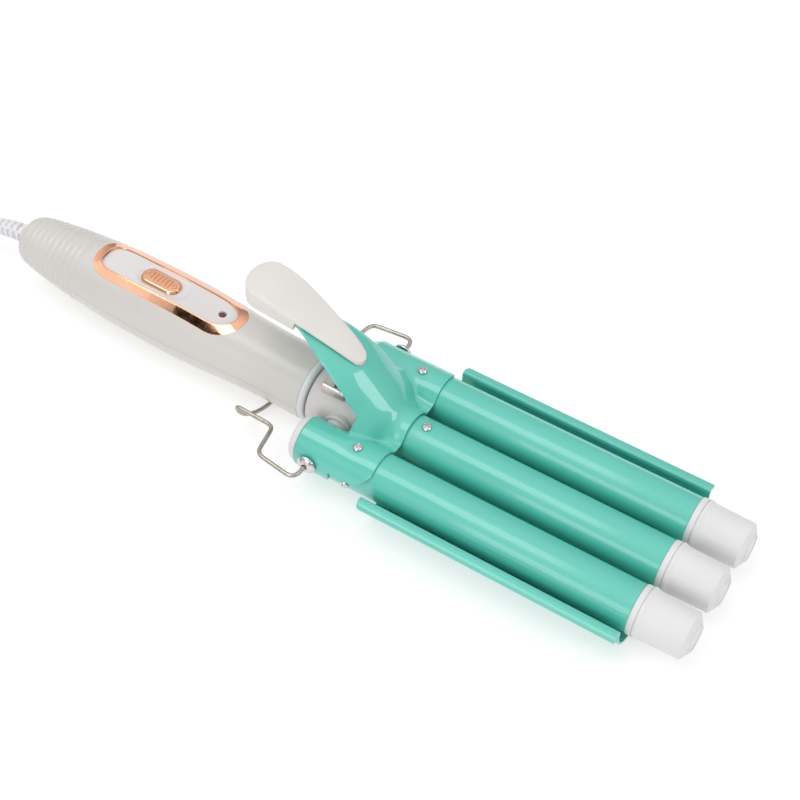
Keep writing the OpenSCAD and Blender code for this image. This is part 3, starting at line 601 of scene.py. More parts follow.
# tie round the coil
ty = []
mid = np.array([cx + (r_out + r_in) / 2 * math.cos(tie_at), cy + (r_out + r_in) / 2 * math.sin(tie_at), z0 + 1.5 * CD])
er = np.array([math.cos(tie_at), math.sin(tie_at), 0])
et = np.array([-math.sin(tie_at), math.cos(tie_at), 0])
hw, hh = (r_out - r_in) / 2 * 0.91 + CD / 2, 1.5 * CD * 0.91 + CD / 2
loop = rounded([(-hw, -hh), (hw, -hh), (hw, hh), (-hw, hh)], CD / 2, 8, True)
sect = rounded([(0.02, -2.4), (0.52, -2.4), (0.52, 2.4), (0.02, 2.4)], 0.2, 3, True)
cen = loop.mean(0)
band = []
for i, q in enumerate(loop):
    a, c = loop[i - 1], loop[(i + 1) % len(loop)]
    tt = (c - a) / np.linalg.norm(c - a)
    nn = np.array([tt[1], -tt[0]])
    band.append([mid + er * (q[0] + nn[0] * o) + np.array([0, 0, q[1] + nn[1] * o]) + et * w for o, w in sect])
v, f = grid(np.array(band), True, True)
tie = make("cord_tie", v, f, BLACK, "handle", angle=50)

# plug
ppos = np.array([-378, -79, -16.4 + 7.0])


def block(x0, x1, hy, hz, r, taper=0.0, n=14, nose=1.2):
    """A rounded block along X with soft ends."""
    rings = []
    outline = rounded([(-hy, -hz), (hy, -hz), (hy, hz), (-hy, hz)], r, 6, True)
    for k in range(n + 1):
        t = k / n
        x = x0 + (x1 - x0) * (0.5 - 0.5 * math.cos(math.pi * t))
        d = min(x - x0, x1 - x)
        ins = nose - math.sqrt(max(nose ** 2 - max(nose - d, 0) ** 2, 0))
        k_ = 1 - taper * (1 - t)
        rings.append([(x, q[0] * k_ * (1 - ins / hy), q[1] * (1 - taper * 0.5 * (1 - t)) * (1 - ins / hz)) for q in outline])
    v, f = grid(np.array(rings), close_v=True)
    m_ = len(outline)
    f += [tuple(range(m_ - 1, -1, -1)), tuple(n * m_ + k for k in range(m_))]
    return v, f


v1, f1 = block(10, 29.9, 10.9, 6.9, 2.6, 0.18)
v2, f2 = lathe(rounded([(0, 0), (0, 3.6), (1.2, 3.9), (1.2, 3.3), (2.4, 3.3), (2.4, 4.2), (3.8, 4.3), (3.8, 3.6), (5, 3.6), (5, 4.7), (6.6, 4.8), (6.6, 4.1), (7.8, 4.1), (7.8, 5.2), (11, 5.6), (11, 0)], 0.12, 2), (0, 0, 0), (1, 0, 0), 48)
v, f = merge([(v1, f1), (v2, f2)])
plug = make("plug_moulding", v + ppos, f, RUBBER, "handle", "plug_body", angle=50)
pins = []
for yy in (-6.35, 6.35):
    v1, f1 = block(0, 17, 0.75, 3.1, 0.3, 0, 10, 0.5)
    pins.append((v1 + np.array([-349, -79 + yy, -16.4 + 7.0]), f1))
v, f = merge(pins)
plug_pins = make("plug_blades", v, f, CHROME, "handle", "plug_pins", angle=50)
tuple(row([-343, 0, 6.6]))

# ------------------------------------------------------------------ barrels, caps
def barrel_piece(name, y, x0, body, node):
    prof = rounded([(x0, BR - 1), (x0, BR), (0, BR), (0, BR - 1)], 0.22, 3, True)
    body_prof = list(prof)
    v, f = lathe(body_prof, (0, y, 0), (1, 0, 0), 128, closed=True)
    return make(name, v, f, MINT, body, node, angle=40)


barrel_piece("middle_tube", 0, -127.7, "handle", "middle_barrel")
barrel_piece("left_tube", PITCH, -162.6, "jaw", "left_barrel")
barrel_piece("right_tube", -PITCH, -162.6, "jaw", "right_barrel")

cap_prof = [(-8, 0), (-8, 9.9), (0.02, 9.9), (0.02, 11.3), (2.6, 11.4), (2.6, 10.95), (3.05, 10.95), (3.05, 11.65), (4.3, 11.65), (5.0, 11.3),
            (5.8, 11.02), (7.2, 10.92), (24.0, 10.62), (26.05, 7.15), (25.75, 6.75), (26.35, 6.6), (26.8, 6.2), (26.8, 5.8), (26.2, 5.4), (26.2, 4.6), (26.45, 4.3), (26.5, 0)]
cap_round = [0, 0, 0, 0.35, 0.12, 0.08, 0.08, 0.35, 0.5, 1.2, 1.5, 2.5, 0.5, 0.15, 0.1, 0.15, 0.2, 0.15, 0.15, 0.15, 0.15, 0]
cap_prof = rounded(cap_prof, cap_round, 5)
for nm, y, body in (("middle", 0, "handle"), ("left", PITCH, "jaw"), ("right", -PITCH, "jaw")):
    v, f = lathe(cap_prof, (0, y, 0), (1, 0, 0), 128)
    make(nm + "_tip", v, f, WHITE, body, nm + "_cap", angle=30)

# rear plugs of the outer barrels
plug_prof = rounded([(-166.5, 0), (-166.5, 8.6), (-166.3, 9.6), (-165.4, 10.6), (-164, 11.0), (-162.7, 11.0), (-162.7, 9.9), (-130.5, 9.9), (-130.5, 0)],
                    [0, 0.3, 0.8, 1.0, 1.0, 0.15, 0, 0, 0], 5)
for nm, y in (("left", PITCH), ("right", -PITCH)):
    v, f = lathe(plug_prof, (0, y, 0), (1, 0, 0), 96)
    make(nm + "_rear_plug", v, f, WHITE, "jaw", nm + "_plug", angle=35)

# ------------------------------------------------------------------ wings
def wing_section():
    out, inn = 16.5, 15.4
    a = [math.radians(d) for d in np.linspace(4, -166, 60)]
    outer = [(out * math.cos(t), max(out * math.sin(t), -16.4)) for t in a]
    a = [math.radians(d) for d in np.linspace(-167.6, 6, 60)]
    inner = [(inn * math.cos(t), inn * math.sin(t)) for t in a]
    lip = rounded([(15.35, 1.9), (15.7, 3.0), (16.3, 3.65), (17.25, 3.62), (17.5, 3.95), (17.78, 3.95), (18.0, 3.5), (19.3, 3.25), (20.3, 2.85), (20.75, 2.2),
                   (20.75, 0.6), (20.3, 0.35), (19.95, 0.6), (19.85, 1.75), (19.2, 2.1), (17.4, 2.3), (16.9, 2.2), (16.55, 1.8)],
                  [0, 0.5, 0.7, 0.25, 0.12, 0.12, 0.25, 1.0, 0.5, 0.4, 0.2, 0.2, 0.25, 0.5, 0.4, 0.3, 0.3, 0], 4)
    return np.array(list(lip) + outer + inner)


sect = wing_section()
WL = 124.0
for side, nm in ((1, "left"), (-1, "right")):
    xs = [-WL, -WL + 0.12, -WL + 0.3, -WL + 0.6, -WL + 1.0, -WL + 1.5, -WL + 3, *np.linspace(-WL + 8, -8, 16), -2, -0.5, -0.15, 0]
    # the lip's outer corner is rounded off at the rear end
    cut = [1.4 * (1 - math.sqrt(1 - (max(0.0, 1.5 - (x + WL)) / 1.5) ** 2)) for x in xs]
    pts = np.array([[(x, side * (PITCH + q[0] - c * float(smooth(18.2, 20.2, q[0]))), q[1]) for q in sect] for x, c in zip(xs, cut)])
    v, f = grid(pts, close_v=True)
    m_ = len(sect)
    f += [tuple(range(m_ - 1, -1, -1)), tuple((len(xs) - 1) * m_ + k for k in range(m_))]
    me_ = make(nm + "_trough", v, f, MINT, "handle", "wing_" + nm, angle=32, bevel=0.16, bevel_seg=2, bevel_angle=70)

# ------------------------------------------------------------------ handle
prof = [(0, 16.3), (20, 16.15), (32, 16.5), (42, 17.1), (52, 17.8), (62, 18.4), (72, 18.75), (84, 18.8), (96, 18.6), (106, 18.4), (116, 17.9), (126, 17.2), (134, 16.5),
        (142, 15.6), (149, 14.7), (156, 13.6), (161, 12.6), (164, 11.6), (165.6, 10.7), (166.5, 9.6)]
R0 = pchip([q[0] for q in prof], [q[1] for q in prof])
TWO_PI = 2 * math.pi


def rib(s):
    """Relief of the grip ribs at the tail."""
    s = np.asarray(s, float)
    g = np.zeros_like(s)
    for i in range(10):
        g = np.maximum(g, np.exp(-((s - (129 + 3.5 * i)) / 0.6) ** 2))
    return 0.5 * g


def R(s, ribs=True):
    return R0(s) - (rib(s) if ribs else 0)


def oval(rear, front, hw, lr, lf, n=24):
    a = [math.pi / 2 * i / n for i in range(n + 1)]
    f1 = [(rear + lr - lr * math.sin(t) ** 0.64, hw * math.cos(t) ** 0.64 if math.cos(t) > 1e-9 else 0.0) for t in a]
    f2 = [(front - lf + lf * math.sin(t) ** 0.95, hw * math.cos(t) ** 0.95 if math.cos(t) > 1e-9 else 0.0) for t in a]
    top = f1[::-1] + f2  # from the rear end along +y to the front end
    return np.array(top + [(q[0], -q[1]) for q in f2[::-1][1:]] + [(q[0], -q[1]) for q in f1[1:-1]])


b_out, b_in = oval(-122, -39.2, 11.7, 18, 15.5), oval(-118.5, -44, 7.6, 13, 13)
hole = spaced(oval(-120.2, -41.8, 9.4, 15.5, 14.2), 1.0, True)

# upper shell: unrolled as (s, angle from the top) with the window cut out
def shell_F(ribs=True, shrink=0.0):
    def F(s, a):
        r = R(s) - shrink
        return hp(s, r * np.cos(a / 17.0), r * np.sin(a / 17.0))
    return F


half = 17.0 * math.pi / 2
hole_sa = np.array([(-q[0], 17.0 * math.asin(np.clip(q[1] / float(R(-q[0])), -1, 1))) for q in hole])
gap = 0.07
end_s = 166.5
outline = rounded([(0.05, -half + gap), (end_s, -half + gap), (end_s, half - gap), (0.05, half - gap)], 0, 1, True)
vs, fs = fill(outline, [hole_sa], [], 1.05, 1.15)
v, f = shell(vs, fs, shell_F(), 2.2, -1.0)
make("upper_casing", v, f, IVORY, "handle", "handle_upper", angle=40, bevel=0.22, bevel_seg=3, bevel_angle=55)

outline = rounded([(0.05, half + gap), (end_s, half + gap), (end_s, 3 * half - gap), (0.05, 3 * half - gap)], 0, 1, True)
holes = []
for s in (30, 132):
    r = float(R(s))
    holes.append([(s + 2.75 * math.cos(t), 2 * half + 2.75 * 17 / r * math.sin(t)) for t in np.linspace(0, TWO_PI, 24, endpoint=False)])
vs, fs = fill(outline, holes, [], 1.05, 1.15)
v, f = shell(vs, fs, shell_F(), 2.2, -1.0)
parts = [(v, f)]
for s in (30, 132):  # sunk screw wells
    r = float(R(s))
    o = hp(s, -r + 0.5, 0)
    wall = rounded([(-0.4, 2.7), (3.6, 2.7), (3.6, 1.35), (r - 1.5, 1.35), (r - 1.5, 3.4), (-0.2, 3.4)], 0.1, 2, True)
    parts.append(lathe(wall, o, H_UP, 40, closed=True, up=H_AX))
v, f = merge(parts)
make("lower_casing", v, f, IVORY, "handle", "handle_lower", angle=40, bevel=0.2, bevel_seg=2, bevel_angle=60)

# bezel: a plated band that follows the handle, with a fine outer step
def surf(s, y):
    r = R0(s)
    return np.sqrt(np.maximum(r * r - y * y, 0))


def panel_top(s):
    return np.sqrt(R0(s) ** 2 - 57.8) - 0.3


ring_prof = rounded([(0.0, -1.0), (0.0, 0.02), (0.025, 0.10), (0.27, 0.06), (0.5, 0.09), (0.73, 0.18), (0.885, 0.27), (0.905, 0.05), (0.93, 0.05), (0.95, 0.27), (0.985, 0.15), (1.0, -0.5), (1.0, -1.2)],
                    [0, 0.012, 0.012, 0.1, 0.1, 0.1, 0.01, 0.008, 0.008, 0.01, 0.01, 0, 0], 4)
n_loop = 360
bo, bi = spaced(b_out, 1e9, False), None


def by_share(poly, n):
    p = np.vstack([poly, poly[:1]])
    s = np.concatenate([[0], np.cumsum(np.linalg.norm(np.diff(p, axis=0), axis=1))])
    t = np.linspace(0, s[-1], n, endpoint=False)
    return np.stack([np.interp(t, s, p[:, i]) for i in range(2)], 1)


outer = by_share(b_out, n_loop)
inner_line = np.vstack([b_in, b_in[:1]])
# nearest point of the inner outline for each outer one, smoothed so that the band's lines don't cross
inner = []
ip = by_share(b_in, 1440)
for q in outer:
    inner.append(int(np.argmin(np.linalg.norm(ip - q, axis=1))))
un = np.unwrap(np.array(inner) * TWO_PI / 1440)
ker = np.ones(31) / 31
ext = np.concatenate([un[-15:] - np.sign(un[-1] - un[0]) * TWO_PI, un, un[:15] + np.sign(un[-1] - un[0]) * TWO_PI])
un = np.convolve(ext, ker, "valid")
idx = (un / TWO_PI * 1440) % 1440
i0 = np.floor(idx).astype(int) % 1440
fr = (idx - np.floor(idx))[:, None]
inner = ip[i0] * (1 - fr) + ip[(i0 + 1) % 1440] * fr
band = []
for o_, i_ in zip(outer, inner):
    ring_ = []
    for vv, h in ring_prof:
        q = o_ + (i_ - o_) * vv
        s, y = -q[0], q[1]
        up_ = float(surf(s, y))
        nrm = np.array([up_, y]) / math.hypot(up_, y)
        ring_.append(hp(s, up_ + nrm[0] * h, y + nrm[1] * h))
    band.append(ring_)
v, f = grid(np.array(band), True, True)
make("plated_bezel", v, f, ROSE, "handle", "bezel", angle=28)

# panel with the dished track of the slide switch
def sd_stadium(s, y, s0, s1, hw):
    c = np.clip(s, s0 + hw, s1 - hw)
    return np.hypot(s - c, y) - hw


def panel_F(s, y):
    up_ = panel_top(s) + 0.16 * (1 - (y / 7.6) ** 2)
    d = sd_stadium(s, y, 70.9, 98.9, 5.75)
    up_ = up_ - 0.62 * smooth(0.25, -0.55, d) - 0.25 * smooth(-0.8, -4.5, d)
    e = np.hypot(s - 51.7, y)
    up_ = up_ - 0.9 * smooth(1.95, 1.7, e) + 0.05 * smooth(2.6, 2.0, e) * smooth(1.7, 2.0, e)
    return hp(s, up_, y)


win = np.array([(-q[0], q[1]) for q in b_in])
track = rounded([(71.2, -5.5), (98.6, -5.5), (98.6, 5.5), (71.2, 5.5)], 5.4, 12, True)
track2 = rounded([(70.6, -6.05), (99.2, -6.05), (99.2, 6.05), (70.6, 6.05)], 5.95, 12, True)
ledc = [(51.7 + 1.72 * math.cos(t), 1.72 * math.sin(t)) for t in np.linspace(0, TWO_PI, 24)]
ledc2 = [(51.7 + 1.98 * math.cos(t), 1.98 * math.sin(t)) for t in np.linspace(0, TWO_PI, 24)]
vs, fs = fill(win, [], [np.vstack([track, track[:1]]), np.vstack([track2, track2[:1]]), ledc, ledc2], 0.6)
v, f = shell(vs, fs, panel_F, 1.6, -1.0)
make("switch_panel", v, f, PANEL, "handle", "control_panel", angle=50)

# lamp lens
o = hp(51.7, float(panel_top(51.7)) - 1.6, 0)
v, f = lathe(rounded([(-1.8, 0), (-1.8, 1.55), (1.35, 1.55), (1.75, 1.1), (1.9, 0)], [0, 0, 0.35, 0.5, 0], 5), o, H_UP, 48, up=H_AX)
make("lamp_lens", v, f, LENS, "handle", "led_lens", angle=50)

# slide knob: domed stadium with cross ribs and a pointer at each end
kt = float(panel_top(84))
KS = 86.4


def knob_F(s, y):
    d = -sd_stadium(s, y, 75.7, 97.1, 5.05)  # inside distance
    base = kt - 0.62
    edge_highlight = 1.55 * (1 - (1 - np.clip(d / 1.5, 0, 1)) ** 2.4)
    up_ = base + edge_highlight + 0.18 * smooth(1.2, 4.5, d)
    return hp(s, up_, y)


kn = rounded([(75.7, -5.05), (97.1, -5.05), (97.1, 5.05), (75.7, 5.05)], 5.0, 14, True)
vs, fs = fill(kn, [], [], 0.32)
v, f = shell(vs, fs, knob_F, 1.2, -1.0)
stem, sf = block(-3, 3, 1.7, 2.2, 0.2, 0, 6, 0.2)
stem = hp(90.0 + stem[:, 0], kt - 2.6 + stem[:, 2], stem[:, 1])
parts = [(v, f), (stem, sf)]


def on_knob(s, y, lift):
    return knob_F(np.asarray(s, float), np.asarray(y, float)) + lift * H_UP


for i in range(-2, 4):  # grip ribs
    hw = 2.95 - 0.14 * abs(i - 0.5)
    yy = np.concatenate([-hw + 0.36 * (1 - np.cos(np.linspace(0.15, math.pi / 2, 5))), np.linspace(-hw + 0.6, hw - 0.6, 9), hw - 0.36 * (1 - np.cos(np.linspace(math.pi / 2, 0.15, 5)))])
    rr = 0.46 * np.sqrt(np.clip(1 - (np.clip(np.abs(yy) - hw + 0.36, 0, 0.36) / 0.365) ** 2, 0.02, 1))
    parts.append(tube(on_knob(np.full_like(yy, KS + (i - 0.5) * 2.05), yy, 0.1), rr, 12))
for e in (-1, 1):  # a pointer at each end
    tri = rounded([(KS + e * 7.0, -1.7), (KS + e * 9.1, 0), (KS + e * 7.0, 1.7)], 0.25, 4, True)
    tri = spaced(tri, 0.22, True)
    tri = np.vstack([tri, tri[:1]])
    parts.append(tube(on_knob(tri[:, 0], tri[:, 1], 0.04), 0.24, 10))
v, f = merge(parts)
make("slide_knob", v, f, ROSE, "switch", "switch_knob", angle=45)

# ------------------------------------------------------------------ ring and neck
ring_p = rounded([(0.25, 12.7), (0.25, 15.85), (0.0, 16.05), (-0.7, 16.1), (-1.5, 16.0), (-2.3, 15.6), (-2.75, 15.0), (-2.8, 14.6), (-2.8, 12.7)], [0, 0.15, 0.15, 0.3, 0.4, 0.5, 0.3, 0.2, 0], 5, True)
v, f = lathe([(q[0], q[1]) for q in ring_p], hp(0, 0, 0), H_AX, 128, closed=True, up=H_UP)
make("rim_ring", v, f, WHITE, "handle", "front_ring", angle=35)

neck_p = rounded([(-187.5, 10.4), (-187.5, 11.2), (-172.6, 11.2), (-172.6, 14.2), (-172.1, 14.75), (-170, 14.6), (-162, 14.3), (-154, 14.1), (-148, 13.3), (-142, 12.3), (-134, 11.6), (-128, 11.05), (-128, 9.9), (-109, 9.9), (-109, 3.6), (-142, 3.6), (-142, 10.4)],
                 [0, 0, 0, 0.3, 0.4, 4, 6, 6, 6, 6, 6, 0.3, 0, 0.2, 0, 0, 0], 6, True)
parts = [lathe(neck_p, (0, 0, 0), (1, 0, 0), 128, closed=True)]
for sd in (-1, 1):
    boss = rounded([(10, 5.9), (14.6, 7.2), (15.6, 6.9), (15.6, 5.5), (24, 5.5), (24, 2.1), (10, 2.1)], [0, 0.8, 0.5, 0.2, 0.3, 0, 0], 5, True)
    parts.append(lathe(boss, (PX, 0, PZ), (0, sd, 0), 72, closed=True))
v, f = merge(parts)
make("neck_barrel", v, f, GREY, "handle", "neck_housing", angle=38)


# spring bracket: a folded plate with a slot, on the neck
def plate(x0, x1, y0, y1, z0, z1):
    v = [(x, y, z) for x in (x0, x1) for y in (y0, y1) for z in (z0, z1)]
    return np.array(v, float), [(0, 1, 3, 2), (4, 6, 7, 5), (0, 4, 5, 1), (2, 3, 7, 6), (0, 2, 6, 4), (1, 5, 7, 3)]


out_l = rounded([(-167.5, -8.7), (-155.3, -8.7), (-155.3, 8.7), (-167.5, 8.7)], 0.9, 5, True)
slot_l = rounded([(-166.8, -2.5), (-155.9, -2.5), (-155.9, 2.5), (-166.8, 2.5)], 0.5, 4, True)
rivets = [[(-161 + 1.0 * math.cos(t), sy + 1.0 * math.sin(t)) for t in np.linspace(0, 2 * math.pi, 20, endpoint=False)] for sy in (-5.6, 5.6)]
vs, fs = fill(out_l, [slot_l] + rivets, [], 0.8)
v, f = shell(vs, fs, lambda x, y: np.stack([x, y, 16.38 - 0.9 * smooth(7.6, 8.8, np.abs(y)) - 0.5 * smooth(6.4, 7.6, np.abs(y)) * 0 + 0 * x], -1), 0.85, 1.0)
parts = [(v, f)]
for s_ in (-1, 1):
    parts.append(plate(-167.3, -155.5, s_ * 8.75 if s_ < 0 else 7.95, s_ * 7.95 if s_ < 0 else 8.75, 12.4, 15.6))
v, f = merge(parts)
make("folded_bracket", v, f, PLATE, "handle", "spring_bracket", angle=35, bevel=0.22, bevel_seg=2, bevel_angle=50)


# clamp spring: three turns round the pivot, with a long leg reaching up to the lever and a short leg down in the neck
turns = np.radians(np.linspace(106, 106 + 1232, 200))
lower_leg = catmull([(-155.6, 3.2, -3.9), (-160, 3.6, -6.4), (-165, 4, -8.2)], 10)
upper_leg = catmull([(-166.2, 0, 39.4), (-163.6, 0, 31), (-160.8, -0.2, 22), (-158.6, -0.4, 14.6), (-157.6, -1, 11.2), (-156.6, -2.2, 8.2), (-155.9, -3.2, 5.85)], 14)
wound = np.stack([PX + 5 * np.cos(turns), np.linspace(-3.2, 3.2, 200), PZ + 5 * np.sin(turns)], -1)
parts = [tube(upper_leg, 0.6, 18), tube(wound, 0.6, 18), tube(lower_leg, 0.6, 18)]
v, f = merge(parts)
spring = make("clamp_spring_wire", v, f, STEEL, None, "clamp_spring", angle=60)
tuple(row((-157.0, 0, 7.2)))
tuple(row((-157.0, 0, 27.0)))
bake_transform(spring)

# end wall of the casings round the strain relief
ss = np.linspace(162.6, 166.2, 7)
wall = [(162.6, 4.7)] + [(float(q), float(R(q)) - 2.2 + 0.35) for q in ss] + [(166.2, 5.3), (165.8, 4.8)]
v, f = lathe(wall, hp(0, 0, 0), H_AX, 72, closed=True)
make("tail_wall", v, f, IVORY, "handle", angle=35)


# ------------------------------------------------------------------ pressed cover
tent_rows = [(-124, 12.25, 13.3, 5.85), (-127, 12.5, 13.4, 6.0), (-129, 12.95, 13.45, 6.15), (-131, 14.1, 13.5, 6.3), (-132.5, 15.5, 14.1, 6.75), (-134, 17.0, 15.7, 7.8),
             (-136, 19.0, 17.6, 9.6), (-138, 21.0, 18.85, 10.6), (-140, 23.0, 19.75, 11.1), (-142, 25.0, 20.5, 11.6), (-143.4, 26.4, 20.6, 13.1), (-145, 27.9, 20.5, 15.6),
             (-146.5, 29.2, 19.8, 18.5), (-148, 30.6, 18.8, 21.4), (-150, 32.4, 17.2, 24.7), (-154, 35.4, 15.29, 29.8), (-158, 38, 14.34, 33.05), (-164, 41.4, 12.63, 37.26),
             (-170, 44.4, 10.69, 40.94), (-178, 47.4, 8.6, 46.3), (-182, 48.8, 7.9, 48.2), (-190, 51.2, 7.4, 51.1), (-198, 52.8, 7.2, 52.7)]
tx = [-q[0] for q in tent_rows]
t_ridge, t_half, t_edge = (pchip(tx, [q[i] for q in tent_rows]) for i in (1, 2, 3))
t_ridge = spline([124, 127, 129.3, 131.3, 133.5, 137, 141, 145, 149, 152, 156, 162, 168, 174, 180, 186, 192, 198], [12.25, 12.42, 12.9, 14.15, 16.3, 19.9, 23.95, 27.9, 31.7, 34.2, 36.85, 40.4, 43.4, 46.0, 48.1, 50.0, 51.6, 52.8])
t_curv = pchip([124, 129, 132, 135, 142, 150, 156, 164, 170, 180, 190, 198], [0.040, 0.038, 0.031, 0.0266, 0.0262, 0.0258, 0.0235, 0.0235, 0.0245, 0.018, 0.008, 0.006])
t_phi = pchip([124, 131, 133, 134, 136, 138, 140, 142, 143, 144, 145, 198], [-54, -53, -50, -41, -29, -22, -17, -14, -14, -20, -30, -30])
CO = 12.05
K1, K2 = 22.0, 26.0


def cover_raw(x, k):
    sgn = np.where(k < 0, -1.0, 1.0)
    k = np.abs(k)
    zr, w, ze, p0 = t_ridge(-x), t_half(-x), t_edge(-x), np.radians(t_phi(-x))
    u = np.clip(k / K1, 0, 1)
    y1 = w * u
    c2 = np.minimum(t_curv(-x), (zr - ze) / w ** 2)
    za = zr - c2 * y1 ** 2 - (zr - ze - c2 * w ** 2) * (y1 / w) ** 4
    zc = np.sqrt(np.maximum(CO ** 2 - y1 ** 2, 0)) + zr - CO  # arch over the middle barrel at the front
    low = ze + 0.12 * smooth(w, w - 2, y1)
    zb = low + 0.5 * ((zc - low) + np.sqrt((zc - low) ** 2 + 0.12))
    z1 = za + (zb - za) * (1 - smooth(126.5, 132.5, -x))
    by, bz = PITCH + CO * np.sin(p0), CO * np.cos(p0)
    t = np.clip((k - K1) / (K2 - K1), 0, 1)
    pm = p0 - math.radians(6)
    ym, zm = PITCH + CO / math.cos(math.radians(6)) * np.sin(pm), CO / math.cos(math.radians(6)) * np.cos(pm)
    y2 = (1 - t) ** 2 * w + 2 * t * (1 - t) * ym + t * t * by
    z2 = (1 - t) ** 2 * ze + 2 * t * (1 - t) * zm + t * t * bz
    phi = p0 + (k - K2) / CO
    y3, z3 = PITCH + CO * np.sin(phi), CO * np.cos(phi)
    y = np.where(k <= K1, y1, np.where(k <= K2, y2, y3))
    z = np.where(k <= K1, z1, np.where(k <= K2, z2, z3))
    return np.stack([x, sgn * y, z], -1)


def k_of(phi, x):
    return K2 + (phi - t_phi(-x)) / 57.2958 * CO


def cover_F(x, k):
    x, k = np.asarray(x, float), np.asarray(k, float)
    acc = 0
    for d, w in ((-0.3, 0.25), (0, 0.5), (0.3, 0.25)):
        acc = acc + w * cover_raw(x, k + d)
    # the screws draw the sheet down a little
    d2 = (x + 136.2) ** 2 + (np.abs(k) - k_of(0, x)) ** 2
    acc = acc - np.stack([0 * x, 0 * x, 0.42 * np.exp(-d2 / 16.0)], -1)
    # a fine raised crease where the tent folds down to the saddles
    bead = 0.2 * np.clip(1 - ((np.abs(k) - K1) / 0.5) ** 2, 0, 1) * smooth(-143.2, -141.5, x)
    return acc + np.stack([0 * x, -0.5 * bead * np.sign(k), bead], -1)


MM = CO / 57.2958
sad = rounded([(q[0], q[1] * MM) for q in [(-123.9, -54), (-123.9, 41), (-125.1, 54), (-127.8, 70.7), (-130.1, 79.7), (-132.6, 83), (-139, 86.6), (-142.4, 85.8), (-142.5, 84.3), (-144.2, 84.3),
               (-144.4, 121.5), (-161.9, 121.5), (-161.9, -28.2), (-154, -27.6), (-149.5, -24.6), (-145.9, -24.6)]],
              [0, 4, 4, 4, 3, 3, 2, 0.4, 0.3, 0.4, 2.2, 1.8, 1.2, 2, 2, 0], 6)
sad = spaced(sad, 0.4)
sad = np.stack([sad[:, 0], k_of(sad[:, 1] / MM, sad[:, 0])], 1)
lev = rounded([tuple(sad[-1]), (-144.6, K2 - 1.2), (-143.5, K1), (-142.7, 17.6), (-145, 17.62), (-146.5, 18.2), (-148, 19.0), (-150, 20.4), (-154, 21.95), (-158, 21.97), (-190, 21.97), (-198, 21.0), (-198, 0)],
              [0, 1.2, 1.5, 0.7, 0, 3, 3, 4, 3, 3, 4, 3, 0], 5)
half_out = np.vstack([[(-123.9, 0), (-123.9, K1)], sad, lev[1:]])
full = np.vstack([half_out, np.array([(q[0], -q[1]) for q in half_out[::-1]])[1:-1]])
creases = [[(-124.1, sg * (K1 + d)), (-142.6, sg * (K1 + d))] for sg in (1, -1) for d in (-0.55, -0.28, 0, 0.28, 0.55)]
vs, fs = fill(full, [], creases, 0.8)
v, f = shell(vs, fs, cover_F, 0.85, 1.0)
make("pressed_cover", v, f, ENAMEL, "jaw", "jaw_cover", angle=50, bevel=0.18, bevel_seg=2, bevel_angle=60)

# ------------------------------------------------------------------ thumb pad
pad_rows = [(-208.6, 4.2, 57.5, 5.4), (-207.8, 6.4, 57.75, 6), (-205.4, 9, 58.0, 6.6), (-202, 10.6, 57.9, 7), (-197, 11.2, 57.2, 7), (-190, 11.1, 55.3, 7), (-184, 10.4, 53.0, 7), (-176, 9.1, 49.7, 7),
            (-170, 8.1, 46.9, 7), (-164, 7.1, 44.1, 7), (-158, 5.9, 40.8, 7), (-154, 4.8, 38.2, 7), (-151.4, 3.3, 36.3, 7), (-150.2, 1.6, 35.4, 7)]
p_half, p_top = (pchip([-q[0] for q in pad_rows][::-1], [q[i] for q in pad_rows][::-1]) for i in (1, 2))


def pad_xs():
    a = np.linspace(0, math.pi / 2, 14)
    rear = -208.75 + 9.5 * (1 - np.cos(a))
    front = -150.0 - 3.0 * (1 - np.cos(a))
    return np.concatenate([rear, np.linspace(-198.5, -154, 46), front[::-1]])


def pad_half(x):
    # plan outline: round rear end, long taper to a small round tip
    x = np.asarray(x, float)
    rear = 11.2 * np.clip(1 - ((-199.25 - x) / 9.5).clip(0, 1) ** 2.3, 0, 1) ** 0.47
    base = np.where(x > -199.2, p_half(-x), rear)
    tip = np.sqrt(np.clip(1 - ((x + 153.2) / 3.2).clip(0, 1) ** 2, 0, 1))
    return np.where(x > -153.2, p_half(np.full_like(x, 153.2)) * tip, base)


def pad_depth(x):
    return 2.3 + (4.9 + 2.3 * smooth(-181, -201, x)) * smooth(-179.7, -180.5, x)


def pad_ring(x, n=12):
    w, t, dp = float(pad_half(x)), float(p_top(-x)), float(pad_depth(x))
    w = max(w, 0.9 if x < -200 else 0.5)
    r = min(1.35, w * 0.9)
    crown = 0.35 * min(1, w / 8)
    pts = []
    # top from right to left with a slight crown, rounded shoulders, then the sides and the underside
    for k in range(n + 1):
        u = -1 + 2 * k / n
        y = u * (w - r)
        pts.append((y, t - crown * u * u))
    sh = t - crown
    for k in range(1, 7):
        a = math.pi / 2 * k / 6
        pts.append((w - r + r * math.sin(a), sh - r + r * math.cos(a)))
    low = t - dp
    pts.append((w + 0.05, low + 0.5))
    pts.append((w - 0.1, low + 0.1))
    pts.append((w - 0.35, low))
    for k in range(1, n):
        u = 1 - 2 * k / n
        pts.append((u * (w - 0.35), low))
    pts.append((-(w - 0.35), low))
    pts.append((-(w - 0.1), low + 0.1))
    pts.append((-(w + 0.05), low + 0.5))
    for k in range(5, -1, -1):
        a = math.pi / 2 * (k + 0) / 6
        pts.append((-(w - r + r * math.sin(a)), sh - r + r * math.cos(a)))
    return [(x, q[0], q[1]) for q in pts[:-1]]


rings = [pad_ring(x) for x in pad_xs()]
v, f = grid(np.array(rings), close_v=True)
m_ = len(rings[0])
f += [tuple(range(m_ - 1, -1, -1)), tuple((len(rings) - 1) * m_ + k for k in range(m_))]
make("thumb_rest", v, f, PADMAT, "jaw", "thumb_pad", angle=48)


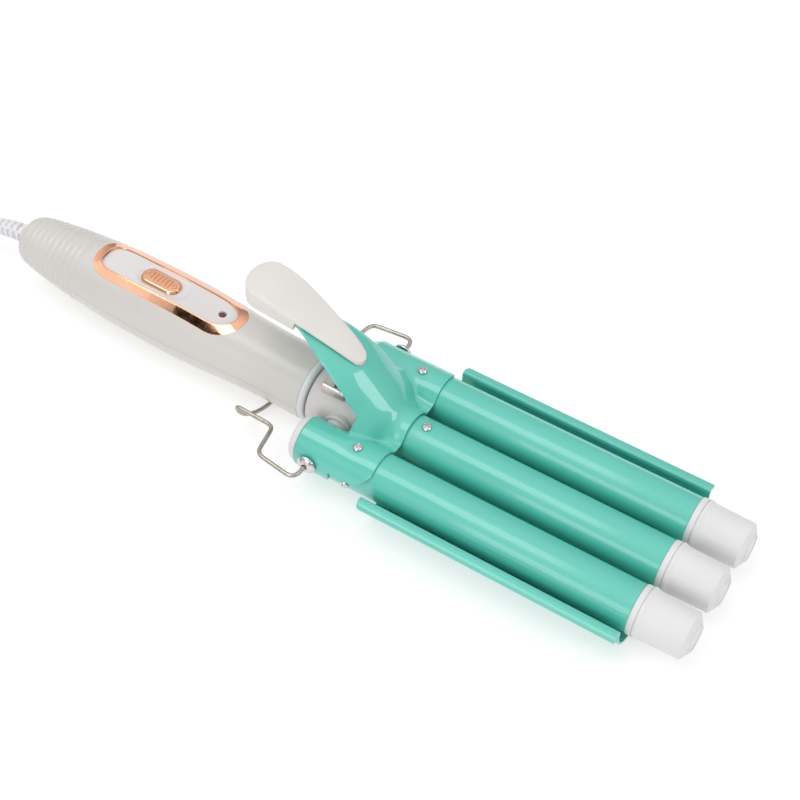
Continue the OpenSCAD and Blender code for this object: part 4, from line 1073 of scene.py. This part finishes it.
# ------------------------------------------------------------------ fasteners
def screw(o, ax, r=2.2, h=1.35, shaft=3.0, turn=0.4):
    """A pan head with a cross recess."""
    prof = rounded([(-shaft, 0), (-shaft, 1.2), (0, 1.2), (0, r), (h * 0.35, r), (h * 0.82, r * 0.8), (h, r * 0.45), (h * 1.02, 0)], [0, 0, 0, 0.1, 0.35, 0.5, 0.5, 0], 4)
    seg = 48
    v, f = lathe(prof, (0, 0, 0), (0, 0, 1), seg, up=(1, 0, 0))
    # the recess: push the head's inner vertices down inside a cross
    a_ = np.linspace(0, 2 * math.pi, 96, endpoint=False)
    top = []
    rr = np.concatenate([np.linspace(0, r * 0.78, 22)])
    ht = lambda q: np.interp(q, [0, r * 0.45, r * 0.8, r], [h * 1.02, h, h * 0.82, h * 0.35])
    V_, F_ = [], []
    for i, q in enumerate(rr[1:]):
        for t in a_:
            x, y = q * math.cos(t), q * math.sin(t)
            arm = min(abs(x), abs(y))
            ext = max(abs(x), abs(y))
            dep = 0.85 * float(smooth(0.42, 0.24, arm)) * float(smooth(r * 0.68, r * 0.45, ext))
            dep = max(dep, 0.9 * float(smooth(0.75, 0.4, q)))
            V_.append((x, y, float(ht(q)) + 0.015 - dep))
    V_.append((0, 0, h - 0.95))
    n = len(a_)
    for i in range(len(rr) - 2):
        for k in range(n):
            F_.append((i * n + k, i * n + (k + 1) % n, (i + 1) * n + (k + 1) % n, (i + 1) * n + k))
    for k in range(n):
        F_.append((len(V_) - 1, (k + 1) % n, k))
    # outer part of the head and the shaft as a lathe that starts where the recess patch ends
    prof2 = rounded([(-shaft, 0), (-shaft, 1.2), (0, 1.2), (0, r), (h * 0.35, r), (float(ht(r * 0.78)) + 0.015, r * 0.78)], [0, 0, 0, 0.1, 0.35, 0], 4)
    v2, f2 = lathe(prof2, (0, 0, 0), (0, 0, 1), n, up=(1, 0, 0))
    v, f = merge([(np.array(V_), F_), (v2, f2)])
    ax = np.array(ax, float) / np.linalg.norm(ax)
    e1 = np.cross([0.31, 0.77, 0.55], ax)
    e1 /= np.linalg.norm(e1)
    e2 = np.cross(ax, e1)
    c, s = math.cos(turn), math.sin(turn)
    e1, e2 = c * e1 + s * e2, -s * e1 + c * e2
    return np.array(o, float) + v[:, :1] * e1 + v[:, 1:2] * e2 + v[:, 2:] * ax, f


v, f = screw((-117.5, 0, BR), (0, 0, 1), turn=0.2)
make("middle_screw_head", v, f, CHROME, "handle", "middle_screw", angle=50)
v, f = merge([screw((-136.2, PITCH, CO - 0.2), (0, 0, 1), turn=0.9), screw((-136.2, -PITCH, CO - 0.2), (0, 0, 1), turn=0.5)])
make("cover_screw_heads", v, f, CHROME, "jaw", "cover_screws", angle=50)
v, f = merge([screw((-136, s * (PITCH + BR + 0.02), -1.7), (0, s, 0), 2.1, 1.25, turn=0.3) for s in (-1, 1)])
make("side_screw_heads", v, f, CHROME, "jaw", "side_screws", angle=50)

# hinge pins: domed heads with the wire's hole
HY = PITCH + CO + 0.3
parts = []
for s in (-1, 1):
    prof = rounded([(-6, 1.2), (-6, 1.96), (0, 1.96), (0, 4.55), (0.45, 4.7), (1.2, 4.45), (1.9, 3.75), (2.4, 2.8), (2.6, 1.75), (2.35, 1.35), (1.2, 1.2)], [0, 0, 0, 0.2, 0.3, 0.5, 0.5, 0.5, 0.25, 0.2, 0], 4, True)
    parts.append(lathe(prof, (PX, s * HY, PZ), (0, s, 0), 72, closed=True))
    shaft = [(16, 0), (16, 1.98), (HY - 5.8, 1.98), (HY - 5.8, 0)]
    parts.append(lathe(shaft, (PX, 0, PZ), (0, s, 0), 40))
v, f = merge(parts)
make("hinge_pin_heads", v, f, CHROME, "handle", "hinge_pins", angle=40)

# ------------------------------------------------------------------ wire stand
def stand_side(s):
    pts = [(PX, s * (HY + 0.3), PZ), (PX, s * 49.0, PZ + 0.05), (-175.9, s * 46.3, PZ + 0.45), (-178.6, s * 29.9, PZ + 0.5), (-199.4, s * 29.2, PZ + 0.3)]
    return rounded(pts, [0, 3.2, 3.4, 2.6, 0], 10)


foot = [(-199.6 + 3.6 * math.sin(a), -29.2 * math.cos(a), 1.2 + (-15.4 - 1.2) * math.sin(a)) for a in np.linspace(math.radians(8), math.radians(172), 48)]
near_side, far_side = stand_side(-1), stand_side(1)
path = np.vstack([near_side, foot, far_side[::-1]])
path = spaced(path, 0.6)
for _ in range(12):  # ease the joins of the bends
    path[1:-1] = 0.25 * path[:-2] + 0.5 * path[1:-1] + 0.25 * path[2:]
v, f = tube(path, 1.0, 24)
make("wire_rest", v, f, STEEL, "stand", "wire_stand", angle=60)

# ------------------------------------------------------------------ floor and light
fl = bpy.data.meshes.new("floor")
fl.from_pydata([(-6, -6, 0), (6, -6, 0), (6, 6, 0), (-6, 6, 0)], [], [(0, 1, 2, 3)])
floor = bpy.data.objects.new("floor", fl)
bpy.context.scene.collection.objects.link(floor)
FLOOR = surface("floor_paper", (0.46, 0.46, 0.46, 1), (0.48, 0.48, 0.48, 1), 0.85, 0.95, scale=3, bump=0.0, spec=0.2)
FLOOR.node_tree.nodes["Principled BSDF"].inputs["Emission Color"].default_value = (1, 1, 1, 1)
FLOOR.node_tree.nodes["Principled BSDF"].inputs["Emission Strength"].default_value = 0.56
fl.materials.append(FLOOR)

world = bpy.data.worlds.new("studio")
world.use_nodes = True
wn, wl = world.node_tree.nodes, world.node_tree.links
wt, wsep, wr = wn.new("ShaderNodeTexCoord"), wn.new("ShaderNodeSeparateXYZ"), wn.new("ShaderNodeValToRGB")
wl.new(wt.outputs["Generated"], wsep.inputs["Vector"])
wl.new(wsep.outputs["Z"], wr.inputs["Fac"])
wr.color_ramp.elements[0].position, wr.color_ramp.elements[0].color = 0.0, (0.30, 0.30, 0.30, 1)
wr.color_ramp.elements[1].position, wr.color_ramp.elements[1].color = 0.95, (1.0, 1.0, 1.0, 1)
wl.new(wr.outputs["Color"], wn["Background"].inputs["Color"])
wn["Background"].inputs["Strength"].default_value = 1.04
bpy.context.scene.world = world


def softbox(name, rx, theta, sx, st, radiance, dist=3.0):
    """A light in the direction (rx along the barrels, theta from straight up towards the camera's side), sx by st across."""
    c, t = math.sqrt(1 - rx * rx), math.radians(theta)
    d = Vector((rx, -math.sin(t) * c, math.cos(t) * c))
    ld = bpy.data.lights.new(name, "AREA")
    ld.shape, ld.size, ld.size_y, ld.energy = "RECTANGLE", sx, st, radiance * math.pi * sx * st
    lo = bpy.data.objects.new(name, ld)
    z = d
    x = Vector((1, 0, 0))
    y = z.cross(x).normalized()
    x = y.cross(z).normalized()
    mm = Matrix((x, y, z)).transposed().to_4x4()
    mm.translation = Vector((0.0, 0, 0.02)) + d * dist
    lo.matrix_world = mm
    bpy.context.scene.collection.objects.link(lo)
    return lo


softbox("softbox_top", -0.27, 13, 1.7, 1.5, 2.4)
softbox("softbox_side", 0.0, 66, 1.5, 1.4, 2.3)
softbox("softbox_rear", -0.68, 30, 1.5, 1.6, 0.3)
softbox("softbox_front", 0.845, -18.8, 0.7, 1.2, 4.2)

# a black flag that keeps the front of the plated band dark
flag_at = Vector((-0.08, 0, 0.04)) + 3.0 * Vector((-0.33, -math.sin(math.radians(36)) * 0.944, math.cos(math.radians(36)) * 0.944))
fd = (flag_at - Vector((-0.08, 0, 0.04))).normalized()
fy = fd.cross(Vector((1, 0, 0))).normalized()
fx = fy.cross(fd).normalized()
fm = bpy.data.meshes.new("flag")
fm.from_pydata([tuple(flag_at + fx * a + fy * b) for a, b in ((-0.27, -0.5), (0.27, -0.5), (0.27, 0.5), (-0.27, 0.5))], [], [(0, 1, 2, 3)])
flag = bpy.data.objects.new("flag", fm)
bpy.context.scene.collection.objects.link(flag)
fm.materials.append(surface("flag_cloth", (0.004, 0.004, 0.004, 1), (0.006, 0.006, 0.006, 1), 0.9, 0.95, scale=20, spec=0.0))
